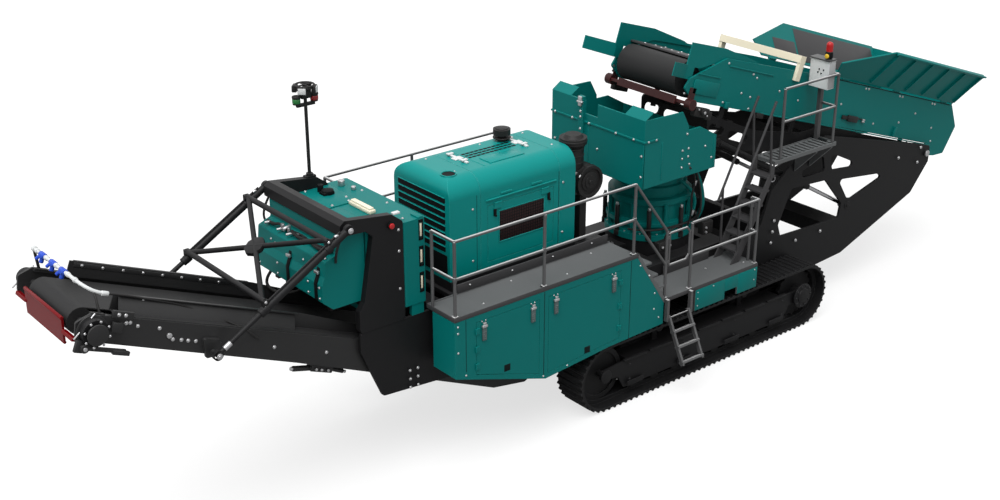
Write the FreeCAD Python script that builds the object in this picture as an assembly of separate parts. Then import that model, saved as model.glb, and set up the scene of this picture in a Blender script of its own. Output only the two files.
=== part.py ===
import FreeCAD, Part
import math
import os

# Tracked mobile cone crusher, millimetres, +Z up.
# +X points to the feeder's tail and hopper, -X to the discharge end of the
# product conveyor, -Y to the side with the ladder. The origin is on the
# ground, under the centre of the crawler tracks.

V = FreeCAD.Vector

# Clearances
SEAT_GAP = 0.3
ROD_GAP = 0.5
STRUT_EYE_PLAY = 18.0
LIFT_EYE_PLAY = 10.0

# Crawler tracks
TRACK_LENGTH = 5190.0
TRACK_HEIGHT = 1030.0
SHOE_WIDTH = 500.0
TRACK_OUTER_Y = 1400.0
SHOE_THICKNESS = 32.0
GROUSER_HEIGHT = 26.0
GROUSER_COUNT = 108
CHAIN_WIDTH = 180.0
CHAIN_HEIGHT = 62.0
TRACK_FRAME_TOP = 620.0
TRACK_FRAME_BOTTOM = 205.0
TRACK_FRAME_WIDTH = 330.0
FRAME_SIDE_PLATE = 36.0
ROLLER_RADIUS = 84.0
ROLLER_COUNT = 8
ROLLER_PITCH = 420.0
CARRIER_RADIUS = 62.0
SPROCKET_TEETH = 17

# Chassis
CHASSIS_OUTER_Y = 850.0
CHASSIS_PLATE = 40.0
CHASSIS_BOTTOM = 600.0
ENGINE_DECK_TOP = 2110.0
MACHINERY_TOP = 1640.0

# Rear frame
REAR_TIP_X = 5810.0

# Feeder
FEED_ANGLE = 18.5
FEED_HINGE_X = 5700.0
FEED_HINGE_Z = 1900.0
FEED_SIDE_Y = 750.0
FEED_PLATE = 30.0
FEED_DEPTH = 760.0
FEED_HEAD_DEPTH = 690.0
FEED_BELT_HALF = 580.0
FEED_BELT = 22.0
FEED_DRUM_R = 260.0
FEED_RISE = 110.0
FEED_TAIL_LENGTH = 690.0
FEED_HEAD_LENGTH = 6220.0
FEED_PIN_R = 45.0
GIRDER_Y = 670.0
GIRDER_PLATE = 30.0

# Hopper
HOPPER_REACH = 2950.0
WING_LEAN = 35.0
WING_WIDTH = 720.0
WING_NOSE_WIDTH = 280.0
WING_NOSE_LENGTH = 960.0
WING_PLATE = 24.0
WING_RIB = 60.0
WING_HINGE_R = 22.0
REAR_WALL_HEIGHT = 600.0

# Lift cylinders of the feeder
LIFT_Y = 730.0
LIFT_BARREL_R = 52.0
LIFT_ROD_R = 32.0
LIFT_TOP_X = 600.0
LIFT_TOP_Z = 3180.0
LIFT_FOOT_X = 3680.0
LIFT_FOOT_Z = 1460.0
LIFT_BARREL_LENGTH = 2480.0
LIFT_PIN_R = 30.0
LIFT_EYE_R = 62.0

# Product conveyor
CONV_ANGLE = 22.5
CONV_HINGE_X = -2900.0
CONV_HINGE_Z = 800.0
CONV_HALF = 780.0
CONV_PLATE = 30.0
CONV_FLANGE = 70.0
CONV_BELT_HALF = 500.0
CONV_BELT = 14.0
CONV_LENGTH = 6620.0
CONV_DRUM_R = 140.0
CONV_HEAD_DEPTH = 300.0
CONV_TAIL_DEPTH = 500.0
CONV_TOP_OVER_HINGE = 80.0
CONV_PIN_R = 40.0
TAIL_HALF = 715.0
TAIL_END_X = 1500.0
SKIRT_HEIGHT = 190.0
SKIRT_Y = 560.0
SKIRT_PLATE = 14.0

# Struts that hold the conveyor
STRUT_Y = 925.0
STRUT_TOP_X = -5900.0
STRUT_TOP_Z = 3600.0
STRUT_FOOT_X = -7700.0
STRUT_FOOT_Z = 2560.0
STRUT_BARREL_R = 46.0
STRUT_ROD_R = 30.0
STRUT_BARREL_LENGTH = 1420.0
STRUT_CROSS_R = 36.0
STRUT_EYE_R = 62.0
STRUT_PIN_R = 30.0

# Gantry and the tanks behind it
GANTRY_OUTER_Y = 860.0
GANTRY_POST = 95.0
GANTRY_BEAM_X = -5975.0
GANTRY_BEAM = 170.0
GANTRY_TOP = 3690.0
GANTRY_FOOT = 2170.0
TANK_TOP = 3500.0
TANK_BOTTOM = 2560.0
TANK_LEDGE = 3260.0
TANK_FRONT_X = -6200.0
TANK_BACK_X = -5590.0
CABINET_FRONT_X = -5560.0
CABINET_BACK_X = -4750.0
CABINET_TOP = 3450.0
CABINET_BOTTOM = 2320.0
MAST_R = 22.0
MAST_TOP = 4830.0
MAST_X = -5330.0
LAMP_DROP = 230.0
MAST_PAD_DROP = 50.0

# Engine hood
HOOD_FRONT_X = -4180.0
HOOD_BACK_X = -2050.0
HOOD_HALF = 600.0
HOOD_BOTTOM = 2300.0
HOOD_TOP = 3650.0
HOOD_WALL = 30.0
HOOD_ROUND = 250.0
HOOD_NOSE_ROUND = 170.0
HOOD_SEAMS = (-3680.0, -2330.0)
LOUVRE_COUNT = 8
HOOD_DOOR_X0 = -3560.0
HOOD_DOOR_X1 = -2440.0
HOOD_DOOR_Z0 = 2420.0
HOOD_DOOR_Z1 = 3200.0
DOOR_GAP = 6.0
DOOR_HINGE_R = 11.0

# Side bodies and decks
BODY_OUTER_Y = 1450.0
BODY_INNER_Y = 1000.0
BODY_FRONT_X = -4770.0
BODY_BACK_X = -1110.0
DECK_TOP = 2290.0
DECK_THICKNESS = 60.0
UPPER_DECK_END_X = -1650.0
LOWER_DECK_TOP = 1450.0
LOWER_DECK_END_X = 840.0
DECK_INNER_Y = 880.0
BODY_DOOR_PLATE = 22.0

# Rails, ladders and platform
RAIL_R = 21.0
RAIL_Y = 1416.0
RAIL_HIGH = 1000.0
RAIL_MID = 500.0
LADDER_X0 = -1050.0
LADDER_X1 = -620.0
LADDER_BAR = 40.0
LADDER_HINGE_Z = 1150.0
LADDER_FOOT_Z = 520.0
LADDER_FOOT_Y = -1800.0
LADDER_Y = -1490.0
PLATFORM_TOP = 2870.0
PLATFORM_X0 = 1300.0
PLATFORM_X1 = 2700.0
PLATFORM_Y0 = -1250.0
PLATFORM_Y1 = -880.0

# Crusher
CONE_X = 0.0
CONE_BASE_Z = 1640.0
BOWL_R = 600.0
FEED_BOX_HALF = 950.0
FEED_BOX_X0 = -1115.0
FEED_BOX_X1 = 325.0
FEED_BOX_Z0 = 2930.0
FEED_BOX_Z1 = 3610.0
FEED_BOX_PLATE = 20.0
FEED_BAND_RISE = 310.0
BOWL_MOUTH_R = 290.0


def box(x0, x1, y0, y1, z0, z1):
    """Block between two corners."""
    return Part.makeBox(x1 - x0, y1 - y0, z1 - z0, V(x0, y0, z0))


def bar(start, end, radius):
    """Round bar between two points."""
    a = V(*start)
    run = V(*end).sub(a)
    return Part.makeCylinder(radius, run.Length, a, run)


def pin_y(x, z, y0, y1, radius):
    """Round pin along Y."""
    return Part.makeCylinder(radius, y1 - y0, V(x, y0, z), V(0, 1, 0))


def outline(points, radius=0.0):
    """Closed wire through the points, its corners rounded by radius."""
    if radius == 0.0:
        return Part.makePolygon(points + [points[0]])
    edges = []
    ends = []
    count = len(points)
    for i, corner in enumerate(points):
        before = points[i - 1].sub(corner)
        after = points[(i + 1) % count].sub(corner)
        half = before.getAngle(after) / 2.0
        reach = radius / math.tan(half)
        reach = min(reach, 0.45 * before.Length, 0.45 * after.Length)
        arc_r = reach * math.tan(half)
        before.normalize()
        after.normalize()
        middle = before.add(after)
        middle.normalize()
        depth = arc_r / math.sin(half) - arc_r
        first = corner.add(before * reach)
        last = corner.add(after * reach)
        edges.append(Part.Arc(first, corner.add(middle * depth), last).toShape())
        ends.append((first, last))
    for i in range(count):
        edges.append(Part.LineSegment(ends[i][1], ends[(i + 1) % count][0]).toShape())
    return Part.Wire(Part.__sortEdges__(edges))


def plate_xz(points, y0, y1, radius=0.0):
    """Plate with an outline in X and Z, between two values of Y."""
    wire = outline([V(x, y0, z) for x, z in points], radius)
    return Part.Face(wire).extrude(V(0, y1 - y0, 0))


def plate_yz(points, x0, x1, radius=0.0):
    """Plate with an outline in Y and Z, between two values of X."""
    wire = outline([V(x0, y, z) for y, z in points], radius)
    return Part.Face(wire).extrude(V(x1 - x0, 0, 0))


def plate_xy(points, z0, z1, radius=0.0):
    """Plate with an outline in X and Y, between two values of Z."""
    wire = outline([V(x, y, z0) for x, y in points], radius)
    return Part.Face(wire).extrude(V(0, 0, z1 - z0))


def joined(pieces):
    """One solid from pieces that meet."""
    return pieces[0].multiFuse(pieces[1:]).removeSplitter()


def cut_away(solid, tools):
    """Solid less a list of tools."""
    return solid.cut(Part.makeCompound(tools))


def group(pieces):
    """Separate solids of one node."""
    return Part.makeCompound(pieces)


def mirrored(shape):
    """The same shape on the other side of the machine."""
    return shape.mirror(V(0, 0, 0), V(0, 1, 0))


def on_slope(shape, hinge_x, hinge_z, angle):
    """Shape drawn level about its hinge, turned about Y and put at the hinge."""
    turned = shape.copy()
    turned.rotate(V(0, 0, 0), V(0, 1, 0), angle)
    turned.translate(V(hinge_x, 0, hinge_z))
    return turned


def on_feeder(shape):
    """Shape drawn level, laid on the feeder's slope."""
    return on_slope(shape, FEED_HINGE_X, FEED_HINGE_Z, FEED_ANGLE)


def on_conveyor(shape):
    """Shape drawn level, laid on the conveyor's slope."""
    return on_slope(shape, CONV_HINGE_X, CONV_HINGE_Z, CONV_ANGLE)


def along(start, end, distance):
    """Point on the line from start to end, at a distance from start."""
    step = V(*end).sub(V(*start))
    step.normalize()
    point = V(*start).add(step * distance)
    return (point.x, point.y, point.z)


# Crawler tracks

TRACK_R = TRACK_HEIGHT / 2.0
WHEEL_X = TRACK_LENGTH / 2.0 - TRACK_R
SHOE_R = TRACK_R - GROUSER_HEIGHT
CHAIN_R = SHOE_R - SHOE_THICKNESS
WHEEL_R = CHAIN_R - CHAIN_HEIGHT
TRACK_Y = -TRACK_OUTER_Y + SHOE_WIDTH / 2.0


def loop_point(distance, radius):
    """Point on the track's oval at a distance along its grouser tips."""
    straight = 2.0 * WHEEL_X
    turn = math.pi * TRACK_R
    distance = distance % (2.0 * (straight + turn))
    if distance < straight:
        return (-WHEEL_X + distance, TRACK_R - radius)
    distance -= straight
    if distance < turn:
        a = distance / TRACK_R - math.pi / 2.0
        return (WHEEL_X + radius * math.cos(a), TRACK_R + radius * math.sin(a))
    distance -= turn
    if distance < straight:
        return (WHEEL_X - distance, TRACK_R + radius)
    a = (distance - straight) / TRACK_R + math.pi / 2.0
    return (-WHEEL_X + radius * math.cos(a), TRACK_R + radius * math.sin(a))


def oval(radius, y0, y1):
    """Solid oval about both end wheels."""
    left = V(-WHEEL_X - radius, y0, TRACK_R)
    right = V(WHEEL_X + radius, y0, TRACK_R)
    low0 = V(-WHEEL_X, y0, TRACK_R - radius)
    low1 = V(WHEEL_X, y0, TRACK_R - radius)
    top0 = V(-WHEEL_X, y0, TRACK_R + radius)
    top1 = V(WHEEL_X, y0, TRACK_R + radius)
    edges = [Part.LineSegment(low0, low1).toShape(),
             Part.Arc(low1, right, top1).toShape(),
             Part.LineSegment(top1, top0).toShape(),
             Part.Arc(top0, left, low0).toShape()]
    return Part.Face(Part.Wire(edges)).extrude(V(0, y1 - y0, 0))


def track_belt():
    """Shoes with one grouser each and the chain inside them, as one loop."""
    around = 2.0 * (2.0 * WHEEL_X + math.pi * TRACK_R)
    pitch = around / GROUSER_COUNT
    # each grouser: share of the pitch, radius
    tooth = [(0.18, SHOE_R), (0.30, TRACK_R), (0.52, TRACK_R), (0.64, SHOE_R)]
    points = []
    for i in range(GROUSER_COUNT):
        for share, radius in tooth:
            x, z = loop_point((i + share) * pitch, radius)
            points.append((x, z))
    shoes = plate_xz(points, TRACK_Y - SHOE_WIDTH / 2.0, TRACK_Y + SHOE_WIDTH / 2.0)
    shoes = shoes.cut(oval(CHAIN_R, -TRACK_OUTER_Y - 10.0, TRACK_Y + SHOE_WIDTH))
    chain_y = (TRACK_Y - CHAIN_WIDTH / 2.0, TRACK_Y + CHAIN_WIDTH / 2.0)
    chain = oval(CHAIN_R + 8.0, *chain_y).cut(oval(WHEEL_R, *chain_y))
    return shoes.fuse(chain)


def track_frame():
    """Side frame with its roller skirts, top, idler fork and final drive."""
    half = TRACK_FRAME_WIDTH / 2.0
    front = -WHEEL_X - 60.0
    back = WHEEL_X + 60.0
    low = TRACK_FRAME_BOTTOM
    top = TRACK_FRAME_TOP
    mid = TRACK_R
    side = [(front, mid - 70.0), (front + 330.0, mid - 110.0), (-1700.0, low), (1700.0, low),
            (back - 330.0, mid - 110.0), (back, mid - 70.0), (back, mid + 70.0),
            (back - 420.0, top), (front + 420.0, top), (front, mid + 70.0)]
    pieces = []
    for y0 in (TRACK_Y - half, TRACK_Y + half - FRAME_SIDE_PLATE):
        pieces.append(plate_xz(side, y0, y0 + FRAME_SIDE_PLATE, 40.0))
    web_x = WHEEL_X - WHEEL_R - 60.0
    pieces.append(box(-web_x, web_x, TRACK_Y - half, TRACK_Y + half, top - 170.0, top))
    for x in (-1150.0, 1150.0):
        pieces.append(box(x - 330.0, x + 330.0, TRACK_Y + half - 2.0, -CHASSIS_OUTER_Y, 300.0, CHASSIS_BOTTOM + 150.0))
    frame = joined(pieces)
    x = -WHEEL_X
    axle = pin_y(x, mid, TRACK_Y - half - 18.0, TRACK_Y + half + 18.0, 48.0)
    drive = pin_y(WHEEL_X, mid, TRACK_Y - half - 30.0, TRACK_Y + half + 30.0, 120.0)
    carriers = []
    for x in (-900.0, 900.0):
        stand_top = TRACK_R + WHEEL_R - 2.0 * CARRIER_RADIUS + 20.0
        carriers.append(box(x - 45.0, x + 45.0, TRACK_Y + 50.0, TRACK_Y + 90.0, top - 4.0, stand_top + 60.0))
        carriers.append(pin_y(x, TRACK_R + WHEEL_R - CARRIER_RADIUS - SEAT_GAP,
                              TRACK_Y - 60.0, TRACK_Y + 60.0, 22.0))
    return joined([frame, axle, drive] + carriers)


def track_wheels():
    """Sprocket, idler, bottom rollers and carrier rollers of one track."""
    half = TRACK_FRAME_WIDTH / 2.0 - FRAME_SIDE_PLATE
    wheels = []
    teeth = []
    for i in range(2 * SPROCKET_TEETH):
        a = math.pi * (i + 0.5) / SPROCKET_TEETH
        r = WHEEL_R - SEAT_GAP if i % 2 else WHEEL_R - 40.0
        teeth.append((WHEEL_X + r * math.cos(a), TRACK_R + r * math.sin(a)))
    sprocket = plate_xz(teeth, TRACK_Y - 30.0, TRACK_Y + 30.0)
    wheels.append(sprocket.cut(pin_y(WHEEL_X, TRACK_R, TRACK_Y - 31.0, TRACK_Y + 31.0, 120.0 + SEAT_GAP)))
    idler = pin_y(-WHEEL_X, TRACK_R, TRACK_Y - 70.0, TRACK_Y + 70.0, WHEEL_R - SEAT_GAP)
    dish = pin_y(-WHEEL_X, TRACK_R, TRACK_Y - 71.0, TRACK_Y - 40.0, WHEEL_R - 70.0)
    bore = pin_y(-WHEEL_X, TRACK_R, TRACK_Y - 80.0, TRACK_Y + 80.0, 48.0 + SEAT_GAP)
    wheels.append(cut_away(idler, [dish, mirror_about(dish, TRACK_Y), bore]))
    first = -ROLLER_PITCH * (ROLLER_COUNT - 1) / 2.0
    roller_z = TRACK_R - WHEEL_R + ROLLER_RADIUS + SEAT_GAP
    for i in range(ROLLER_COUNT):
        x = first + i * ROLLER_PITCH
        wheels.append(pin_y(x, roller_z, TRACK_Y - half + SEAT_GAP, TRACK_Y + half - SEAT_GAP, ROLLER_RADIUS))
    for x in (-900.0, 900.0):
        z = TRACK_R + WHEEL_R - CARRIER_RADIUS - SEAT_GAP
        carrier = pin_y(x, z, TRACK_Y - 55.0, TRACK_Y + 45.0, CARRIER_RADIUS)
        wheels.append(carrier.cut(pin_y(x, z, TRACK_Y - 80.0, TRACK_Y + 80.0, 22.0 + SEAT_GAP)))
    return group(wheels)


def mirror_about(shape, y):
    """Shape mirrored in the plane at y."""
    return shape.mirror(V(0, y, 0), V(0, 1, 0))


# Chassis and rear frame

CHASSIS_INNER_Y = CHASSIS_OUTER_Y - CHASSIS_PLATE


def chassis_side():
    """One side plate, from the gantry's foot to the feeder's hinge."""
    top = FEED_HINGE_Z
    outer = [(-5750.0, GANTRY_FOOT), (-5750.0, 1900.0), (-5450.0, 1200.0), (-2950.0, 1000.0),
             (-2560.0, CHASSIS_BOTTOM), (2800.0, CHASSIS_BOTTOM - 10.0), (3630.0, 640.0),
             (5400.0, 1260.0), (REAR_TIP_X, 1730.0), (REAR_TIP_X, top + 100.0),
             (REAR_TIP_X - 330.0, 2110.0), (3000.0, 2790.0), (2780.0, 2740.0), (2200.0, 2520.0),
             (1760.0, 2180.0), (1560.0, MACHINERY_TOP), (-1250.0, MACHINERY_TOP),
             (-1560.0, ENGINE_DECK_TOP), (-4650.0, ENGINE_DECK_TOP), (-4710.0, GANTRY_FOOT)]
    plate = plate_xz(outer, -CHASSIS_OUTER_Y, -CHASSIS_INNER_Y, 60.0)
    windows = [[(3390.0, 1970.0), (4420.0, 1830.0), (4530.0, 1750.0), (3770.0, 1560.0), (3650.0, 1590.0)],
               [(3120.0, 2440.0), (3300.0, 2400.0), (3950.0, 2090.0), (3200.0, 2180.0)],
               [(2430.0, 2330.0), (2950.0, 2480.0), (3020.0, 2200.0), (2480.0, 2220.0)],
               [(2240.0, 2100.0), (3060.0, 2040.0), (3520.0, 1540.0), (3480.0, 1290.0),
                (2060.0, 1350.0), (1980.0, 1560.0)]]
    tools = []
    for window in windows:
        tools.append(plate_xz(window, -CHASSIS_OUTER_Y - 5.0, -CHASSIS_INNER_Y + 5.0, 50.0))
    hinge_pin = pin_y(FEED_HINGE_X, FEED_HINGE_Z, -CHASSIS_OUTER_Y - 30.0, -GIRDER_Y + GIRDER_PLATE + 20.0,
                      FEED_PIN_R)
    lift_pin = pin_y(LIFT_FOOT_X, LIFT_FOOT_Z, -CHASSIS_OUTER_Y - 20.0, -LIFT_Y + 40.0, LIFT_PIN_R)
    boss = pin_y(LIFT_FOOT_X, LIFT_FOOT_Z, -CHASSIS_OUTER_Y - 10.0, -CHASSIS_INNER_Y + 20.0, 2.2 * LIFT_PIN_R)
    return joined([cut_away(plate, tools), hinge_pin, lift_pin, boss])


def chassis_cross():
    """Cross members between the side plates."""
    # x0, x1, z0, z1 of each cross member
    members = [(-4500.0, -4300.0, 1900.0, 2080.0),
               (-1700.0, -1500.0, 1300.0, 1600.0),
               (-1500.0, -820.0, 950.0, 1250.0),
               (820.0, 1500.0, 950.0, 1250.0),
               (1600.0, 1700.0, 1300.0, 1700.0),
               (3700.0, 4100.0, 760.0, 1000.0)]
    pieces = []
    for x0, x1, z0, z1 in members:
        pieces.append(box(x0, x1, -CHASSIS_INNER_Y, CHASSIS_INNER_Y, z0, z1))
    return group(pieces)


def engine_deck():
    """Plate over the side plates that carries the engine and its hood."""
    deck = box(HOOD_FRONT_X - 60.0, HOOD_BACK_X + 420.0, -CHASSIS_OUTER_Y, CHASSIS_OUTER_Y,
               ENGINE_DECK_TOP, ENGINE_DECK_TOP + 60.0)
    sill = box(HOOD_FRONT_X, HOOD_BACK_X, -HOOD_HALF - 20.0, HOOD_HALF + 20.0,
               ENGINE_DECK_TOP + 50.0, HOOD_BOTTOM)
    inside = box(HOOD_FRONT_X + 40.0, HOOD_BACK_X - 40.0, -HOOD_HALF + 20.0, HOOD_HALF - 20.0,
                 ENGINE_DECK_TOP + 60.0, HOOD_BOTTOM + 5.0)
    return joined([deck, sill]).cut(inside)


# Gantry, tanks and mast

def gantry():
    """Portal over the conveyor: two posts with arms and the front beam."""
    y0 = GANTRY_OUTER_Y
    side = [(GANTRY_BEAM_X, 3500.0), (GANTRY_BEAM_X, GANTRY_TOP - 50.0), (GANTRY_BEAM_X + 60.0, GANTRY_TOP),
            (-5240.0, 3600.0), (-5085.0, 3480.0), (-5085.0, GANTRY_FOOT), (-5750.0, GANTRY_FOOT),
            (-5750.0, 2450.0), (-5670.0, 2560.0), (-5520.0, 3390.0), (-5620.0, 3480.0)]
    post = plate_xz(side, -y0, -y0 + GANTRY_POST, 40.0)
    beam = plate_xz([(GANTRY_BEAM_X, 3510.0), (GANTRY_BEAM_X, GANTRY_TOP - 50.0),
                     (GANTRY_BEAM_X + 60.0, GANTRY_TOP), (GANTRY_BEAM_X + GANTRY_BEAM, GANTRY_TOP - 15.0),
                     (GANTRY_BEAM_X + GANTRY_BEAM, 3510.0)], -y0 + 5.0, y0 - 5.0)
    frame = joined([post, mirrored(post), beam])
    pin = pin_y(STRUT_TOP_X, STRUT_TOP_Z, -STRUT_Y - 40.0, -y0 + 20.0, STRUT_PIN_R)
    inner = y0 - GANTRY_POST + 5.0
    shelf = box(TANK_BACK_X - 75.0, TANK_BACK_X, -inner, inner, TANK_BOTTOM - 80.0, TANK_BOTTOM)
    beams = [pin, mirrored(pin), shelf]
    for y in (-640.0, 560.0):
        beams.append(box(TANK_BACK_X - 430.0, TANK_BACK_X - 30.0, y, y + 80.0, TANK_BOTTOM - 80.0, TANK_BOTTOM))
    for x in (CABINET_FRONT_X + 60.0, CABINET_FRONT_X + 320.0):
        beams.append(box(x, x + 120.0, -inner, inner, CABINET_BOTTOM - 110.0, CABINET_BOTTOM))
    pad_y = y0 - GANTRY_POST / 2.0
    beams.append(box(MAST_X - 70.0, MAST_X + 70.0, pad_y - 45.0, pad_y + 45.0,
                     GANTRY_TOP - 130.0, GANTRY_TOP - MAST_PAD_DROP))
    return joined([frame] + beams)


def hydraulic_tank():
    """Tank across the machine with a stepped, folded front."""
    front = TANK_FRONT_X
    side = [(front + 240.0, TANK_TOP), (front + 240.0, TANK_LEDGE), (front + 60.0, TANK_LEDGE - 70.0),
            (front + 40.0, 3000.0), (front, 2900.0), (front, 2680.0), (front + 140.0, TANK_BOTTOM), (TANK_BACK_X, TANK_BOTTOM), (TANK_BACK_X, TANK_TOP)]
    half = GANTRY_OUTER_Y - GANTRY_POST - SEAT_GAP
    return plate_xz(side, -half, half, 25.0)


def cooler_cabinet():
    """Cabinet between the posts and the hood, with its slotted corners."""
    top = CABINET_TOP
    low = CABINET_BOTTOM
    inner = GANTRY_OUTER_Y - GANTRY_POST - 5.0
    between = box(CABINET_FRONT_X, CABINET_BACK_X - 330.0, -inner, inner, low, top)
    back = plate_xy([(CABINET_BACK_X - 330.0, -GANTRY_OUTER_Y), (CABINET_BACK_X, -GANTRY_OUTER_Y),
                     (CABINET_BACK_X, GANTRY_OUTER_Y), (CABINET_BACK_X - 330.0, GANTRY_OUTER_Y)],
                    low, top, 30.0)
    slots = []
    for z in (2480.0, 2830.0, 3180.0):
        for side in (-1.0, 1.0):
            y = side * GANTRY_OUTER_Y
            slots.append(box(CABINET_BACK_X - 90.0, CABINET_BACK_X - 50.0, y - 12.0, y + 12.0, z, z + 230.0))
    feet = []
    for y0 in (-CHASSIS_OUTER_Y, CHASSIS_OUTER_Y - 60.0):
        feet.append(box(CABINET_BACK_X - 220.0, CABINET_BACK_X - 40.0, y0, y0 + 60.0, GANTRY_FOOT, low + 5.0))
    return cut_away(joined([between, back] + feet), slots)


def light_mast():
    """Mast at the far end of the gantry with two signal lamps."""
    x = MAST_X
    y = GANTRY_OUTER_Y - GANTRY_POST / 2.0
    low = GANTRY_TOP - MAST_PAD_DROP
    foot = bar((x, y, low), (x, y, low + 30.0), 44.0)
    pole = bar((x, y, low), (x, y, MAST_TOP), MAST_R)
    arm_z = MAST_TOP - LAMP_DROP
    arm = box(x - 130.0, x + 130.0, y - 20.0, y + 20.0, arm_z - 40.0, arm_z)
    ring = Part.makeTorus(120.0, 12.0, V(x, y, MAST_TOP), V(0, 0, 1))
    spoke = bar((x - 120.0, y, MAST_TOP), (x + 120.0, y, MAST_TOP), 10.0)
    lamps = []
    for dx in (-130.0, 130.0):
        lamps.append(bar((x + dx, y, arm_z), (x + dx, y, arm_z + 100.0), 48.0))
    return joined([foot, pole, arm, ring, spoke] + lamps)


# Engine and hood

def rounded_section(x0, x1, half, low, top, radius):
    """Hood section with two rounded top edges."""
    side = V(x0, -half, low)
    r = radius
    c = r * (1.0 - math.sqrt(0.5))
    p = [side, V(x0, -half, top - r), V(x0, -half + r, top), V(x0, half - r, top),
         V(x0, half, top - r), V(x0, half, low)]
    edges = [Part.LineSegment(p[0], p[1]).toShape(),
             Part.Arc(p[1], V(x0, -half + c, top - c), p[2]).toShape(),
             Part.LineSegment(p[2], p[3]).toShape(),
             Part.Arc(p[3], V(x0, half - c, top - c), p[4]).toShape(),
             Part.LineSegment(p[4], p[5]).toShape(),
             Part.LineSegment(p[5], p[0]).toShape()]
    return Part.Face(Part.Wire(edges)).extrude(V(x1 - x0, 0, 0))


def hood_profile(x0, x1, half, low, top, radius):
    """Hood outline in X and Z with its front top edge rounded, as wide as the hood."""
    c = radius * (1.0 - math.sqrt(0.5))
    p = [V(x0, -half, low), V(x0, -half, top - radius), V(x0 + radius, -half, top), V(x1, -half, top),
         V(x1, -half, low)]
    edges = [Part.LineSegment(p[0], p[1]).toShape(),
             Part.Arc(p[1], V(x0 + c, -half, top - c), p[2]).toShape(),
             Part.LineSegment(p[2], p[3]).toShape(),
             Part.LineSegment(p[3], p[4]).toShape(),
             Part.LineSegment(p[4], p[0]).toShape()]
    return Part.Face(Part.Wire(edges)).extrude(V(0, 2.0 * half, 0))


def hood_body(inset):
    """Solid of the hood, made smaller all round by inset."""
    x0 = HOOD_FRONT_X + inset
    x1 = HOOD_BACK_X - inset
    half = HOOD_HALF - inset
    low = HOOD_BOTTOM - (10.0 if inset else 0.0)
    top = HOOD_TOP - inset
    body = rounded_section(x0, x1, half, low, top, HOOD_ROUND - inset)
    return body.common(hood_profile(x0, x1, half, low, top, HOOD_NOSE_ROUND - inset))


def engine_hood():
    """Hollow hood with louvres in its front end and a door opening."""
    tools = [hood_body(HOOD_WALL)]
    tools.append(box(HOOD_DOOR_X0 - DOOR_GAP, HOOD_DOOR_X1 + DOOR_GAP, -HOOD_HALF - 5.0,
                     -HOOD_HALF + HOOD_WALL + 5.0, HOOD_DOOR_Z0 - DOOR_GAP, HOOD_DOOR_Z1 + DOOR_GAP))
    first = 2700.0
    pitch = (HOOD_TOP - 190.0 - first) / LOUVRE_COUNT
    for i in range(LOUVRE_COUNT):
        z = first + i * pitch
        tools.append(box(HOOD_FRONT_X - 5.0, HOOD_FRONT_X + HOOD_WALL + 5.0, -HOOD_HALF + 90.0,
                         HOOD_HALF - 90.0, z, z + pitch * 0.62))
    tools.append(box(HOOD_FRONT_X - 5.0, HOOD_FRONT_X + HOOD_WALL - 8.0, -HOOD_HALF + 60.0,
                     HOOD_HALF - 60.0, HOOD_BOTTOM + 60.0, first - 50.0))
    panels = []
    for x in HOOD_SEAMS:
        panels.append(hood_body(0.0).common(box(x - 4.0, x + 4.0, -HOOD_HALF, HOOD_HALF, HOOD_BOTTOM, HOOD_TOP)))
    seam = hood_body(5.0)
    grooves = [panel.cut(seam) for panel in panels]
    return cut_away(hood_body(0.0), tools + grooves)


def hood_door():
    """Side door of the hood with a mesh window, hung on its top edge."""
    y0 = -HOOD_HALF
    door = box(HOOD_DOOR_X0, HOOD_DOOR_X1, y0, y0 + HOOD_WALL - 4.0, HOOD_DOOR_Z0, HOOD_DOOR_Z1)
    x_mid = (HOOD_DOOR_X0 + HOOD_DOOR_X1) / 2.0
    window = box(x_mid - 300.0, x_mid + 300.0, y0 - 5.0, y0 + 12.0, HOOD_DOOR_Z0 + 300.0, HOOD_DOOR_Z1 - 110.0)
    hinge_y = y0 - DOOR_HINGE_R - SEAT_GAP
    hinge_z = HOOD_DOOR_Z1 + 20.0
    pieces = [door.cut(window)]
    for x in (HOOD_DOOR_X0 + 160.0, HOOD_DOOR_X1 - 160.0):
        pieces.append(bar((x - 60.0, hinge_y, hinge_z), (x + 60.0, hinge_y, hinge_z), DOOR_HINGE_R))
        pieces.append(box(x - 60.0, x + 60.0, hinge_y - 5.0, y0 - SEAT_GAP, HOOD_DOOR_Z1 - 2.0, hinge_z))
        pieces.append(box(x - 60.0, x + 60.0, hinge_y - 5.0, y0 + 2.0, HOOD_DOOR_Z1 - 60.0, HOOD_DOOR_Z1 - 2.0))
    return joined(pieces)


def engine_block():
    """Engine and its clutch as one plain block on the deck."""
    body = box(-3900.0, -2300.0, -400.0, 400.0, ENGINE_DECK_TOP + 60.0, 3250.0)
    radiator = box(-4120.0, -3900.0, -520.0, 520.0, ENGINE_DECK_TOP + 60.0, 3420.0)
    return joined([body, radiator])


def exhaust():
    """Exhaust cap that stands out of the hood's top."""
    x = HOOD_BACK_X - 560.0
    y = HOOD_HALF - HOOD_ROUND - 70.0
    stub = bar((x, y, HOOD_TOP), (x, y, HOOD_TOP + 90.0), 60.0)
    cap = bar((x, y, HOOD_TOP + 90.0), (x, y, HOOD_TOP + 170.0), 120.0)
    return joined([stub, cap])


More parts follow.
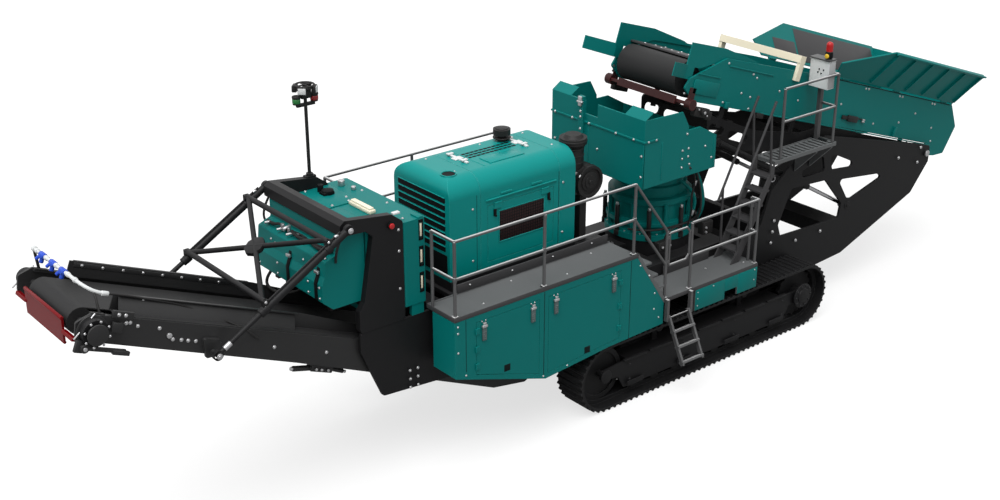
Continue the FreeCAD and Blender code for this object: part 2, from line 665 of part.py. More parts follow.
def air_cleaner():
    """Intake stack and round canister at the hood's rear end."""
    x = HOOD_BACK_X + 190.0
    y = -330.0
    can_x = x + 130.0
    can = bar((can_x, -560.0, 3080.0), (can_x, -230.0, 3080.0), 230.0)
    dish = bar((can_x, -565.0, 3080.0), (can_x, -535.0, 3080.0), 190.0)
    hub = bar((can_x, -560.0, 3080.0), (can_x, -500.0, 3080.0), 90.0)
    stack = bar((x, y, 3180.0), (x, y, 3570.0), 150.0)
    hat = Part.makeCone(150.0, 190.0, 60.0, V(x, y, 3560.0))
    rim = bar((x, y, 3615.0), (x, y, 3700.0), 190.0)
    lid = Part.makeCone(150.0, 110.0, 50.0, V(x, y, 3695.0))
    stand = box(can_x - 60.0, can_x + 60.0, -420.0, -300.0, ENGINE_DECK_TOP + 60.0, 2900.0)
    return joined([can.cut(dish), hub, stack, hat, rim, lid, stand])


# Side bodies, decks and steps

def side_body_outline(grow=0.0):
    """Outline of a side body in X and Z."""
    low = DECK_TOP - DECK_THICKNESS
    g = grow
    return [(BODY_FRONT_X + g, low - g), (BODY_FRONT_X + g, 1450.0 + g), (-3280.0, 950.0 + g),
            (-2150.0, 1044.0 + g), (BODY_BACK_X - g, 1074.0 + g), (BODY_BACK_X - g, 1400.0 - g), (UPPER_DECK_END_X - 10.0 - g, low - g)]


# name, first x, last x, hinge side and its three knuckles' heights of each body door
BODY_DOORS = [("front", -4430.0, -3400.0, -1.0, (1520.0, 1760.0, 2010.0)),
              ("rear", -3240.0, -1960.0, 1.0, (1280.0, 1610.0, 1960.0))]
BODY_DOOR_TOP = 2130.0
BODY_DOOR_MARGIN = 75.0


def body_low(x):
    """Height of the side body's lower edge at x."""
    edge = [(px, pz) for px, pz in side_body_outline() if pz < 1500.0]
    for (x0, z0), (x1, z1) in zip(edge, edge[1:]):
        if x0 <= x <= x1:
            return z0 + (x - x0) / (x1 - x0) * (z1 - z0)
    return edge[0][1]


def door_outline(x0, x1, grow):
    """Outline of a body door, its low edge along the body's."""
    low0 = body_low(x0) + BODY_DOOR_MARGIN - grow
    low1 = body_low(x1) + BODY_DOOR_MARGIN - grow
    return [(x0 - grow, low0), (x1 + grow, low1), (x1 + grow, BODY_DOOR_TOP + grow), (x0 - grow, BODY_DOOR_TOP + grow)]


def side_body(doors):
    """Closed box body below a walkway, open where its doors lie."""
    body = plate_xz(side_body_outline(), -BODY_OUTER_Y, -BODY_INNER_Y, 15.0)
    inside = plate_xz(side_body_outline(30.0), -BODY_OUTER_Y + 30.0, -BODY_INNER_Y - 30.0)
    tools = [inside]
    for _, x0, x1, _, _ in doors:
        tools.append(plate_xz(door_outline(x0, x1, DOOR_GAP), -BODY_OUTER_Y - 5.0, -BODY_OUTER_Y + 35.0))
    arms = []
    for x in (-4500.0, -3250.0, -1700.0):
        arms.append(box(x, x + 90.0, -BODY_INNER_Y - 4.0, -CHASSIS_OUTER_Y, 1420.0, 1640.0))
    return joined([cut_away(body, tools)] + arms)


def body_door(x0, x1, hinge_side, heights):
    """Flat door with its hinge knuckles outside and two latches."""
    outer = -BODY_OUTER_Y
    pieces = [plate_xz(door_outline(x0, x1, 0.0), outer, outer + BODY_DOOR_PLATE)]
    edge = x0 if hinge_side < 0 else x1
    hinge_x = edge + hinge_side * 16.0
    hinge_y = outer - DOOR_HINGE_R - SEAT_GAP
    inner = edge - hinge_side * 40.0
    lip = edge - hinge_side * 2.0
    for z in heights:
        pieces.append(bar((hinge_x, hinge_y, z - 40.0), (hinge_x, hinge_y, z + 40.0), DOOR_HINGE_R))
        pieces.append(box(min(lip, hinge_x), max(lip, hinge_x), hinge_y - 4.0, outer - SEAT_GAP, z - 40.0, z + 40.0))
        pieces.append(box(min(lip, inner), max(lip, inner), hinge_y - 4.0, outer + 1.0, z - 40.0, z + 40.0))
    for x in (x0 + 90.0, x1 - 140.0):
        pieces.append(box(x, x + 50.0, outer - 22.0, outer + 1.0, BODY_DOOR_TOP - 210.0, BODY_DOOR_TOP - 30.0))
    return joined(pieces)


def walkway():
    """Upper deck plate with raised edges, seated on the side body."""
    low = DECK_TOP - DECK_THICKNESS
    deck = box(BODY_FRONT_X, UPPER_DECK_END_X, -BODY_OUTER_Y, -DECK_INNER_Y, low, DECK_TOP)
    tray = box(BODY_FRONT_X + 12.0, UPPER_DECK_END_X + 5.0, -BODY_OUTER_Y + 12.0, -DECK_INNER_Y - 12.0,
               DECK_TOP - 18.0, DECK_TOP + 5.0)
    brackets = []
    for x in (-4600.0, -3400.0, -2200.0):
        brackets.append(box(x, x + 80.0, -BODY_INNER_Y + SEAT_GAP, -CHASSIS_OUTER_Y, low - 250.0, low + 5.0))
    return joined([deck.cut(tray)] + brackets)


def lower_deck():
    """Lower deck, its green apron and the steps that join both decks."""
    low = LOWER_DECK_TOP - 50.0
    deck = box(BODY_BACK_X + 2.0, LOWER_DECK_END_X, -BODY_OUTER_Y, -CHASSIS_OUTER_Y, low, LOWER_DECK_TOP)
    apron = box(-470.0, LOWER_DECK_END_X, -BODY_OUTER_Y, -BODY_OUTER_Y + 30.0, 1070.0, low + 5.0)
    notch = box(150.0, 420.0, -BODY_OUTER_Y - 5.0, -BODY_OUTER_Y + 40.0, 1060.0, 1190.0)
    end = box(LOWER_DECK_END_X - 30.0, LOWER_DECK_END_X, -BODY_OUTER_Y, -CHASSIS_OUTER_Y, 1070.0, low + 5.0)
    top_x = UPPER_DECK_END_X + 10.0
    foot_x = BODY_BACK_X + 1.0
    slope = plate_xz([(top_x, DECK_TOP - 86.0), (top_x, DECK_TOP), (BODY_BACK_X + 15.0, LOWER_DECK_TOP + 20.0),
                      (BODY_BACK_X + 15.0, LOWER_DECK_TOP), (foot_x, LOWER_DECK_TOP), (foot_x, low + 5.0)],
                     -BODY_OUTER_Y, -BODY_OUTER_Y + 40.0)
    steps = []
    rise = (DECK_TOP - LOWER_DECK_TOP) / 4.0
    run = (BODY_BACK_X - UPPER_DECK_END_X) / 4.0
    for i in range(1, 4):
        z = LOWER_DECK_TOP + i * rise
        x = BODY_BACK_X - i * run
        steps.append(box(x, x + 150.0, -BODY_OUTER_Y + 20.0, -DECK_INNER_Y - 20.0, z - 30.0, z))
    inner = slope.copy()
    inner.translate(V(0, BODY_OUTER_Y - DECK_INNER_Y - 60.0, 0))
    return joined([deck, apron.cut(notch), end, slope, inner] + steps)


def posts_and_rails(posts, rails):
    """Posts (x, y, low, high) and rails (start, end) as one frame of tube."""
    pieces = []
    for x, y, low, high in posts:
        pieces.append(bar((x, y, low), (x, y, high), RAIL_R))
    for start, end in rails:
        pieces.append(bar(start, end, RAIL_R * 0.92))
    return joined(pieces)


def handrail(steps_down):
    """Handrail of an upper walkway; the near one goes down to the lower deck."""
    y = -RAIL_Y
    deck = DECK_TOP - 18.0 + SEAT_GAP
    high = DECK_TOP + RAIL_HIGH
    mid = DECK_TOP + RAIL_MID
    end = UPPER_DECK_END_X - 60.0
    posts = [(-4735.0, y, deck, high), (-3300.0, y, deck, high), (end, y, deck, high)]
    rails = [((-4735.0, y, high), (end, y, high)), ((-4735.0, y, mid), (end, y, mid)),
             ((-4735.0, y, high), (-4735.0, -960.0, high)), ((-4735.0, y, mid), (-4735.0, -960.0, mid))]
    posts.append((-4735.0, -960.0, deck, high))
    if steps_down:
        foot = LOWER_DECK_TOP + SEAT_GAP
        x = LADDER_X0 - 20.0
        top = LOWER_DECK_TOP + RAIL_HIGH
        posts.append((x, y, foot, top))
        rails.append(((end, y, high), (x, y, top)))
        rails.append(((end, y, mid), (x, y, top - RAIL_MID)))
    return posts_and_rails(posts, rails)


def lower_rail():
    """Handrail round the end of the lower deck."""
    y = -RAIL_Y
    foot = LOWER_DECK_TOP + SEAT_GAP
    top = LOWER_DECK_TOP + RAIL_HIGH
    mid = top - RAIL_MID
    x0 = LADDER_X1 + 45.0
    x1 = LOWER_DECK_END_X - 40.0
    back_y = PLATFORM_Y0 - 40.0
    posts = [(x0, y, foot, top), (x1, y, foot, top), (x1, back_y, foot, top)]
    rails = [((x0, y, top), (x1, y, top)), ((x0, y, mid), (x1, y, mid)),
             ((x1, y, top), (x1, back_y, top)), ((x1, y, mid), (x1, back_y, mid))]
    return posts_and_rails(posts, rails)


def ladder_fixed():
    """Short fixed stringers below the deck that carry the ladder's hinge."""
    pieces = []
    for x in (LADDER_X0 - LADDER_BAR, LADDER_X1):
        pieces.append(box(x, x + LADDER_BAR, -BODY_OUTER_Y - 62.0, -BODY_OUTER_Y, LADDER_HINGE_Z - 40.0,
                          LOWER_DECK_TOP - 5.0))
    pieces.append(bar((LADDER_X0 - LADDER_BAR, LADDER_Y, LADDER_HINGE_Z),
                      (LADDER_X1 + LADDER_BAR, LADDER_Y, LADDER_HINGE_Z), 11.0))
    return joined(pieces)


def ladder_fold():
    """Folding lower half of the ladder, leaning outwards."""
    x0 = LADDER_X0 + 6.0
    x1 = LADDER_X1 - 6.0
    lean_y = LADDER_FOOT_Y - LADDER_Y
    lean_z = LADDER_FOOT_Z - LADDER_HINGE_Z
    length = math.hypot(lean_y, lean_z)
    pieces = []
    for x in (x0, x1 - 30.0):
        pieces.append(box(x, x + 30.0, -30.0, 30.0, -length, 30.0))
    for share in (0.30, 0.62, 0.94):
        pieces.append(box(x0, x1, -45.0, 45.0, -share * length - 15.0, -share * length + 15.0))
    ladder = joined(pieces)
    ladder = ladder.cut(bar((x0 - 5.0, 0.0, 0.0), (x1 + 5.0, 0.0, 0.0), 11.0 + SEAT_GAP))
    ladder.rotate(V(0, 0, 0), V(1, 0, 0), -math.degrees(math.atan2(-lean_y, -lean_z)))
    ladder.translate(V(0, LADDER_Y, LADDER_HINGE_Z))
    return ladder


def gate():
    """D-shaped gate between the ladder's posts, hung on the left post."""
    post_x = LADDER_X0 - 20.0 + RAIL_R
    x0 = post_x + 30.0
    x1 = LADDER_X1 + 45.0 - RAIL_R - 25.0
    y = -RAIL_Y
    top = LOWER_DECK_TOP + RAIL_HIGH - 40.0
    low = top - 480.0
    pieces = [bar((x0, y, low), (x0, y, top), 17.0),
              bar((x0, y, top), (x1 - 60.0, y, top), 16.0),
              bar((x0, y, low), (x1 - 60.0, y, low), 16.0),
              bar((x1, y, low + 70.0), (x1, y, top - 70.0), 16.0),
              bar((x1 - 60.0, y, top), (x1, y, top - 70.0), 16.0),
              bar((x1 - 60.0, y, low), (x1, y, low + 70.0), 16.0)]
    for z in (low + 60.0, top - 60.0):
        pieces.append(box(post_x + SEAT_GAP, x0, y - 8.0, y + 8.0, z - 20.0, z + 20.0))
    return joined(pieces)


def access_stair():
    """Steep stair from the lower deck up to the feeder platform."""
    foot = (480.0, LOWER_DECK_TOP + SEAT_GAP)
    head = (PLATFORM_X0 - SEAT_GAP, PLATFORM_TOP)
    y0 = PLATFORM_Y0
    y1 = PLATFORM_Y1 - 20.0
    side = [foot, (foot[0] + 170.0, foot[1]), (head[0], head[1] - 200.0), head]
    pieces = [plate_xz(side, y0, y0 + 16.0), plate_xz(side, y1 - 16.0, y1)]
    count = 6
    for i in range(1, count + 1):
        share = i / (count + 1.0)
        x = foot[0] + share * (head[0] - foot[0])
        z = foot[1] + share * (head[1] - foot[1])
        pieces.append(box(x - 20.0, x + 160.0, y0 + 10.0, y1 - 10.0, z - 50.0, z - 20.0))
    for y in (y0 + 8.0, y1 - 8.0):
        pieces.append(bar((foot[0] + 20.0, y, foot[1] + 900.0), (head[0] - 70.0, y, head[1] + 930.0), RAIL_R * 0.9))
        for share in (0.12, 0.88):
            x = foot[0] + share * (head[0] - foot[0])
            z = foot[1] + share * (head[1] - foot[1])
            rail_x = foot[0] + 20.0 + share * (head[0] - foot[0] - 90.0)
            rail_z = foot[1] + 900.0 + share * (head[1] - foot[1] + 30.0)
            pieces.append(bar((x + 30.0, y, z - 60.0), (rail_x, y, rail_z), RAIL_R * 0.9))
    return joined(pieces)


def platform():
    """Small deck beside the feeder, on brackets from the rear frame."""
    deck = box(PLATFORM_X0, PLATFORM_X1, PLATFORM_Y0, PLATFORM_Y1, PLATFORM_TOP - 60.0, PLATFORM_TOP)
    tray = box(PLATFORM_X0 + 10.0, PLATFORM_X1 - 10.0, PLATFORM_Y0 + 10.0, PLATFORM_Y1 - 10.0,
               PLATFORM_TOP - 16.0, PLATFORM_TOP + 5.0)
    pieces = [deck.cut(tray)]
    for x in (2250.0, 2600.0):
        pieces.append(plate_yz([(PLATFORM_Y0 + 20.0, PLATFORM_TOP - 90.0), (-CHASSIS_OUTER_Y, 2380.0),
                                (-CHASSIS_OUTER_Y, PLATFORM_TOP - 50.0), (PLATFORM_Y0 + 20.0, PLATFORM_TOP - 50.0)],
                               x, x + 40.0))
    return joined(pieces)


def platform_rails():
    """Rails round the platform."""
    y = PLATFORM_Y0 + 40.0
    foot = PLATFORM_TOP - 16.0 + SEAT_GAP
    top = PLATFORM_TOP + RAIL_HIGH + 60.0
    mid = top - RAIL_MID
    x0 = PLATFORM_X0 + 150.0
    x1 = PLATFORM_X1 - 50.0
    posts = [(x0, y, foot, top), (x1, y, foot, top), (x1, PLATFORM_Y1 - 60.0, foot, top)]
    rails = [((x0, y, top), (x1, y, top)), ((x0, y, mid), (x1, y, mid)),
             ((x1, y, top), (x1, PLATFORM_Y1 - 60.0, top)), ((x1, y, mid), (x1, PLATFORM_Y1 - 60.0, mid))]
    return posts_and_rails(posts, rails)


def control_cabinet():
    """Control cabinet on a stand on the platform, with a beacon on top."""
    x0 = PLATFORM_X1 - 250.0
    y0 = PLATFORM_Y0 + 75.0
    top = PLATFORM_TOP + 1270.0
    case = box(x0, x0 + 150.0, y0, y0 + 350.0, top - 430.0, top)
    lid = box(x0 - 16.0, x0 + 160.0, y0 - 8.0, y0 + 358.0, top - 4.0, top + 22.0)
    foot = PLATFORM_TOP - 16.0 + SEAT_GAP
    stand = box(x0 + 80.0, x0 + 130.0, y0 + 170.0, y0 + 230.0, foot, top - 420.0)
    x = x0 + 75.0
    y = y0 + 80.0
    neck = bar((x, y, top + 10.0), (x, y, top + 130.0), 44.0)
    lamp = bar((x, y, top + 130.0), (x, y, top + 230.0), 52.0)
    dome = Part.makeSphere(52.0, V(x, y, top + 230.0), V(0, 0, 1), 0, 90, 360)
    return joined([case, lid, stand, neck, lamp, dome])


# Crusher and its feed box

def crusher_base():
    """Main frame of the crusher between the chassis plates."""
    base = box(-780.0, 780.0, -CHASSIS_INNER_Y, CHASSIS_INNER_Y, 1400.0, CONE_BASE_Z)
    hollow = box(-560.0, 560.0, -560.0, 560.0, 1390.0, CONE_BASE_Z + 5.0)
    frame = base.cut(hollow)
    ring = bar((CONE_X, 0.0, CONE_BASE_Z - 120.0), (CONE_X, 0.0, CONE_BASE_Z + 180.0), 640.0)
    throat = bar((CONE_X, 0.0, CONE_BASE_Z - 130.0), (CONE_X, 0.0, CONE_BASE_Z + 190.0), 480.0)
    shaft = box(CONE_X - 1400.0, CONE_X - 600.0, -160.0, 160.0, CONE_BASE_Z - 130.0, CONE_BASE_Z + 90.0)
    return joined([frame, ring, shaft]).cut(throat)


def crusher_bowl():
    """Bowl with its clamp rings and flange, revolved about the cone's axis."""
    z = CONE_BASE_Z + 180.0
    r = BOWL_R
    top = FEED_BOX_Z0 - SEAT_GAP - z
    # radius and height over the base of each turn of the outer profile
    profile = [(r + 60.0, 0.0), (r + 60.0, 90.0), (r - 10.0, 110.0), (r - 10.0, 190.0), (r + 40.0, 210.0),
               (r + 40.0, 270.0), (r - 20.0, 290.0), (r - 20.0, 520.0), (r + 20.0, 540.0), (r + 20.0, 620.0),
               (r - 60.0, 640.0), (r - 60.0, 780.0), (r - 100.0, 800.0), (r - 100.0, 900.0), (r - 50.0, 920.0),
               (r - 50.0, 980.0), (r - 190.0, top), (BOWL_MOUTH_R, top), (BOWL_MOUTH_R, top - 60.0),
               (r - 190.0, 860.0), (r - 120.0, 0.0)]
    points = [V(CONE_X + a, 0.0, z + b) for a, b in profile]
    bowl = Part.Face(outline(points)).revolve(V(CONE_X, 0, 0), V(0, 0, 1), 360.0)
    cylinders = []
    for i in range(8):
        a = math.radians(22.5 + 45.0 * i)
        x = CONE_X + (r + 16.0) * math.cos(a)
        y = (r + 16.0) * math.sin(a)
        cylinders.append(bar((x, y, z + 40.0), (x, y, z + 560.0), 33.0))
    return bowl.multiFuse(cylinders)


def feed_box():
    """Feed box over the bowl, with a raised band about its front half."""
    x0 = FEED_BOX_X0
    x1 = FEED_BOX_X1
    half = FEED_BOX_HALF
    t = FEED_BOX_PLATE
    low = FEED_BOX_Z0
    high = FEED_BOX_Z1
    top = high + FEED_BAND_RISE
    lower = plate_xz([(x0, low), (x1, low), (x1, high - 190.0), (x1 - 340.0, high), (x0, high)], -half, half)
    hollow = box(x0 + t, x1 - t, -half + t, half - t, low + t, high + 5.0)
    mouth = bar((CONE_X, 0.0, low - 5.0), (CONE_X, 0.0, low + t + 10.0), BOWL_MOUTH_R)
    shell = cut_away(lower, [hollow, mouth])
    front = box(x0, x0 + t, -half, half, high - 5.0, top)
    notch = box(x0 - 5.0, x0 + t + 5.0, -10.0, 245.0, top - 190.0, top + 5.0)
    fold = box(x0 - 14.0, x0 + 5.0, -half - 14.0, half + 14.0, high - 12.0, high + 12.0)
    rib = box(x0 - 45.0, x0 + 5.0, 245.0, 345.0, high - 200.0, top + 60.0)
    side = plate_xz([(x0, high - 5.0), (x0, top), (x0 + 730.0, top - 20.0), (x0 + 860.0, high + 60.0),
                     (x0 + 860.0, high - 5.0)], -half, -half + t)
    hem = box(x0 - 14.0, x0 + 270.0, -half - 14.0, -half + 5.0, high - 12.0, high + 12.0)
    flap = plate_xz([(x0, top), (x0 + 150.0, top + 95.0), (x0 + 150.0, top + 78.0), (x0 + 4.0, top - 14.0)],
                    -half, -half + 400.0)
    near = joined([side, hem, flap])
    return joined([shell, front.cut(notch), fold, rib, near, mirrored(near)])


def flat_panel(corners, thickness):
    """Flat panel through its corners, given a thickness."""
    points = [V(*c) for c in corners]
    return Part.Face(Part.makePolygon(points + [points[0]])).extrude(V(*thickness))


# Tail of the product conveyor under the crusher

def conveyor_tail():
    """Level trough under the crusher, hung between the side plates."""
    z = CONV_HINGE_Z
    pieces = []
    for side in (-1.0, 1.0):
        y0 = side * TAIL_HALF - (CONV_PLATE if side > 0 else 0.0)
        pieces.append(plate_xz([(CONV_HINGE_X - 90.0, z - 90.0), (CONV_HINGE_X + 300.0, z - 320.0),
                                (TAIL_END_X, z - 320.0), (TAIL_END_X, z + 60.0), (CONV_HINGE_X - 90.0, z + 60.0)],
                               y0, y0 + CONV_PLATE, 30.0))
    for x in (-2300.0, -600.0, 1200.0):
        pieces.append(box(x, x + 90.0, -TAIL_HALF + 5.0, TAIL_HALF - 5.0, z - 300.0, z - 240.0))
    for x in (-2300.0, 1200.0):
        pieces.append(box(x, x + 90.0, -CHASSIS_INNER_Y, -TAIL_HALF + 5.0, z - 150.0, z - 60.0))
        pieces.append(box(x, x + 90.0, TAIL_HALF - 5.0, CHASSIS_INNER_Y, z - 150.0, z - 60.0))
    pin = pin_y(CONV_HINGE_X, z, -CHASSIS_INNER_Y, -TAIL_HALF + 5.0, CONV_PIN_R)
    return joined(pieces + [pin, mirrored(pin)])


def tail_belt():
    """Belt loop of the tail and its end drum."""
    z = CONV_HINGE_Z
    r = 110.0
    x0 = CONV_HINGE_X + 360.0
    x1 = TAIL_END_X - 200.0
    return belt_loop(x0, x1, z - 60.0, r, CONV_BELT_HALF, CONV_BELT, TAIL_HALF - CONV_PLATE - SEAT_GAP)


def belt_loop(x0, x1, z, radius, half, thickness, shaft_half):
    """Level belt loop about two drums, with the drums and their shafts."""
    outer = slot_solid(x0, x1, z, radius + thickness, half)
    inner = slot_solid(x0, x1, z, radius, half + 5.0)
    drums = []
    for x in (x0, x1):
        drums.append(pin_y(x, z, -half, half, radius))
        drums.append(pin_y(x, z, -shaft_half, shaft_half, 40.0))
    return joined([outer.cut(inner)] + drums)


def slot_solid(x0, x1, z, radius, half):
    """Solid with a slot-shaped side."""
    block = box(x0, x1, -half, half, z - radius, z + radius)
    return joined([block, pin_y(x0, z, -half, half, radius), pin_y(x1, z, -half, half, radius)])


# Product conveyor, drawn level with its hinge at the origin

HEAD_X = -CONV_LENGTH


def conveyor_frame():
    """Two deep side channels with cross members below the belt."""
    top = CONV_TOP_OVER_HINGE
    low = top - CONV_TAIL_DEPTH
    head_low = top - CONV_HEAD_DEPTH
    pieces = []
    side = [(120.0, top - 160.0), (60.0, top), (HEAD_X - 60.0, top), (HEAD_X - 200.0, top - 110.0),
            (HEAD_X - 150.0, head_low), (-3900.0, head_low - 60.0), (-600.0, low), (-60.0, low + 120.0)]
    for y0 in (-CONV_HALF, CONV_HALF - CONV_PLATE):
        pieces.append(plate_xz(side, y0, y0 + CONV_PLATE, 40.0))
    for sign in (-1.0, 1.0):
        y0 = sign * CONV_HALF - (0.0 if sign < 0 else CONV_FLANGE)
        pieces.append(box(HEAD_X - 40.0, -250.0, y0, y0 + CONV_FLANGE, top - CONV_PLATE, top))
    for share in (0.11, 0.32, 0.53, 0.74, 0.92):
        x = share * HEAD_X
        pieces.append(box(x, x + 90.0, -CONV_HALF + 5.0, CONV_HALF - 5.0, head_low + 5.0, head_low + 55.0))
    bore = pin_y(0.0, 0.0, -CONV_HALF - 5.0, CONV_HALF + 5.0, CONV_PIN_R + SEAT_GAP)
    frame = on_conveyor(joined(pieces).cut(bore))
    x = STRUT_FOOT_X
    z = STRUT_FOOT_Z
    pin = pin_y(x, z, -STRUT_Y - 40.0, -CONV_HALF - 6.0, STRUT_PIN_R)
    lug = plate_xz([(x - 90.0, z - 60.0), (x - 100.0, z + 200.0), (x + 110.0, z + 120.0), (x + 90.0, z - 70.0)],
                   -CONV_HALF - 36.0, -CONV_HALF, 30.0)
    return joined([frame, pin, lug, mirrored(pin), mirrored(lug)])


def conveyor_belt():
    """Belt loop from the hinge to the head drum."""
    return on_conveyor(belt_loop(HEAD_X, -260.0, CONV_TOP_OVER_HINGE - CONV_DRUM_R - 30.0, CONV_DRUM_R,
                                 CONV_BELT_HALF, CONV_BELT, CONV_HALF - CONV_PLATE - SEAT_GAP))


def conveyor_skirts():
    """Skirt boards on both sides of the belt, lower under the gantry."""
    top = CONV_TOP_OVER_HINGE
    low_top = top + 95.0
    side = [(HEAD_X + 260.0, top + 4.0), (-330.0, top + 4.0), (-330.0, low_top), (-2500.0, low_top),
            (-3900.0, top + SKIRT_HEIGHT), (HEAD_X + 260.0, top + SKIRT_HEIGHT)]
    board = plate_xz(side, -SKIRT_Y - SKIRT_PLATE / 2.0, -SKIRT_Y + SKIRT_PLATE / 2.0)
    foot = plate_yz([(-SKIRT_Y, top + 4.0), (-CONV_HALF + 20.0, top), (-CONV_HALF + 20.0, top + 8.0),
                     (-SKIRT_Y, top + 12.0)], HEAD_X + 260.0, -330.0)
    near = joined([board, foot])
    return on_conveyor(group([near, mirrored(near)]))


# Lift struts

def strut_barrels():
    """Both cylinder barrels with the braced frame between them."""
    top = (STRUT_TOP_X, -STRUT_Y, STRUT_TOP_Z)
    foot = (STRUT_FOOT_X, -STRUT_Y, STRUT_FOOT_Z)
    start = along(top, foot, 40.0)
    end = along(top, foot, STRUT_BARREL_LENGTH)
    barrel = bar(start, end, STRUT_BARREL_R)
    bore = bar(along(top, foot, 120.0), along(top, foot, STRUT_BARREL_LENGTH + 10.0), STRUT_ROD_R + ROD_GAP)
    eye = pin_y(top[0], top[2], -STRUT_Y - 26.0, -STRUT_Y + 26.0, STRUT_EYE_R)
    hole = pin_y(top[0], top[2], -STRUT_Y - 30.0, -STRUT_Y + 30.0, STRUT_PIN_R + SEAT_GAP)
    side = joined([barrel, eye])
    pieces = [side, mirrored(side)]
    up = along(top, foot, 335.0)
    low = along(top, foot, 1340.0)
    lift = 95.0
    ends = []
    for x, _, z in (up, low):
        for sign in (-1.0, 1.0):
            y = sign * STRUT_Y
            pieces.append(box(x - 35.0, x + 35.0, y - 25.0, y + 25.0, z, z + lift + 25.0))
        pieces.append(bar((x, -STRUT_Y, z + lift), (x, STRUT_Y, z + lift), STRUT_CROSS_R))
        ends.append((x, z + lift))
    (x0, z0), (x1, z1) = ends
    pieces.append(bar((x0, -STRUT_Y + 60.0, z0), (x1, STRUT_Y - 60.0, z1), STRUT_CROSS_R * 0.9))
    pieces.append(bar((x0, STRUT_Y - 60.0, z0), (x1, -STRUT_Y + 60.0, z1), STRUT_CROSS_R * 0.9))
    return cut_away(joined(pieces), [bore, hole, mirrored(bore), mirrored(hole)])


def strut_rods():
    """Chrome rods with their lower eyes on the conveyor's pins."""
    top = (STRUT_TOP_X, -STRUT_Y, STRUT_TOP_Z)
    foot = (STRUT_FOOT_X, -STRUT_Y, STRUT_FOOT_Z)
    rod = bar(along(top, foot, STRUT_BARREL_LENGTH - 700.0), along(top, foot, 2050.0), STRUT_ROD_R)
    eye = pin_y(foot[0], foot[2], -STRUT_Y - 26.0, -STRUT_Y + 26.0, STRUT_EYE_R)
    hole = pin_y(foot[0], foot[2], -STRUT_Y - 30.0, -STRUT_Y + 30.0, STRUT_PIN_R + STRUT_EYE_PLAY)
    side = joined([rod, eye]).cut(hole)
    return group([side, mirrored(side)])


# Feeder, drawn level with its hinge at the origin: +X towards the tail

F_TAIL = FEED_TAIL_LENGTH
F_HEAD = -FEED_HEAD_LENGTH
F_LOW = FEED_RISE
F_TOP = FEED_RISE + FEED_DEPTH
F_HEAD_TOP = FEED_RISE + FEED_HEAD_DEPTH


def feeder_sides():
    """Side plates and the cross members that join them inside the belt."""
    side = [(F_HEAD + 180.0, F_LOW), (F_HEAD - 60.0, F_LOW + 160.0), (F_HEAD, F_LOW + 310.0),
            (-5560.0, F_HEAD_TOP), (-3100.0, F_TOP), (F_TAIL - 170.0, F_TOP), (F_TAIL + 135.0, F_LOW + 420.0),
            (F_TAIL, -50.0 + 90.0), (F_TAIL - 260.0, -30.0), (F_TAIL - 560.0, -60.0),
            (F_TAIL - 600.0, F_LOW + 40.0), (-1900.0, F_LOW + 40.0)]
    cross_z = F_LOW + FEED_DRUM_R
    frame = []
    for y0 in (-FEED_SIDE_Y, FEED_SIDE_Y - FEED_PLATE):
        frame.append(plate_xz(side, y0, y0 + FEED_PLATE, 40.0))
    for x in (-150.0, -1500.0, -3000.0, -4500.0):
        frame.append(box(x, x + 110.0, -FEED_SIDE_Y + 5.0, FEED_SIDE_Y - 5.0, cross_z - 30.0, cross_z + 30.0))
    return on_feeder(joined(frame))


def feeder_belt():
    """Feeder belt loop with its head and tail drums."""
    x0 = F_HEAD + 140.0
    x1 = F_TAIL - 190.0
    z = FEED_RISE + FEED_DRUM_R + 20.0
    return on_feeder(belt_loop(x0, x1, z, FEED_DRUM_R - FEED_BELT, FEED_BELT_HALF, FEED_BELT,
                               FEED_SIDE_Y - FEED_PLATE - SEAT_GAP))


def feeder_girder():
    """Deep girders with slots below the feeder, on the hinge at the tail."""
    side = [(-5556.0, -35.0), (-4350.0, -150.0), (-3300.0, -60.0), (-2900.0, F_LOW - 20.0),
            (-60.0, F_LOW - 10.0), (90.0, 0.0), (60.0, -90.0), (-70.0, -120.0), (-2500.0, -300.0),
            (-4600.0, -480.0), (-5382.0, -560.0)]
    y0 = -GIRDER_Y
    y1 = y0 + GIRDER_PLATE
    plate = plate_xz(side, y0, y1, 50.0)
    tools = []
    # left, right, left middle height of each slot
    for x0, x1, z in ((-5440.0, -5100.0, -215.0), (-4980.0, -4530.0, -270.0)):
        tools.append(plate_xz([(x0, z + 65.0), (x1, z + 35.0), (x1, z - 95.0), (x0, z - 65.0)],
                              y0 - 5.0, y1 + 5.0, 60.0))
    tools.append(pin_y(0.0, 0.0, y0 - 5.0, y1 + 5.0, FEED_PIN_R + SEAT_GAP))
    plate = cut_away(plate, tools)
    lift_x, lift_z = feeder_local(LIFT_TOP_X, LIFT_TOP_Z)
    pin = pin_y(lift_x, lift_z, -LIFT_Y - 36.0, y0 + 10.0, LIFT_PIN_R)
    half = [plate, pin]
    for x in (-5300.0, -3600.0, -600.0):
        half.append(box(x, x + 90.0, y0, y1, -200.0, F_LOW + 80.0))
        half.append(box(x, x + 90.0, -FEED_SIDE_Y + FEED_PLATE, y0 + 5.0, F_LOW + 45.0, F_LOW + 80.0))
    near = joined(half)
    cross = []
    for x in (-5050.0, -2700.0, -900.0):
        cross.append(box(x, x + 100.0, -GIRDER_Y + 5.0, GIRDER_Y - 5.0, -130.0, -70.0))
    return on_feeder(joined([near, mirrored(near)] + cross))


def feeder_local(x, z):
    """Place of a point of the machine in the feeder's level drawing."""
    a = math.radians(FEED_ANGLE)
    dx = x - FEED_HINGE_X
    dz = z - FEED_HINGE_Z
    return (dx * math.cos(a) - dz * math.sin(a), dx * math.sin(a) + dz * math.cos(a))


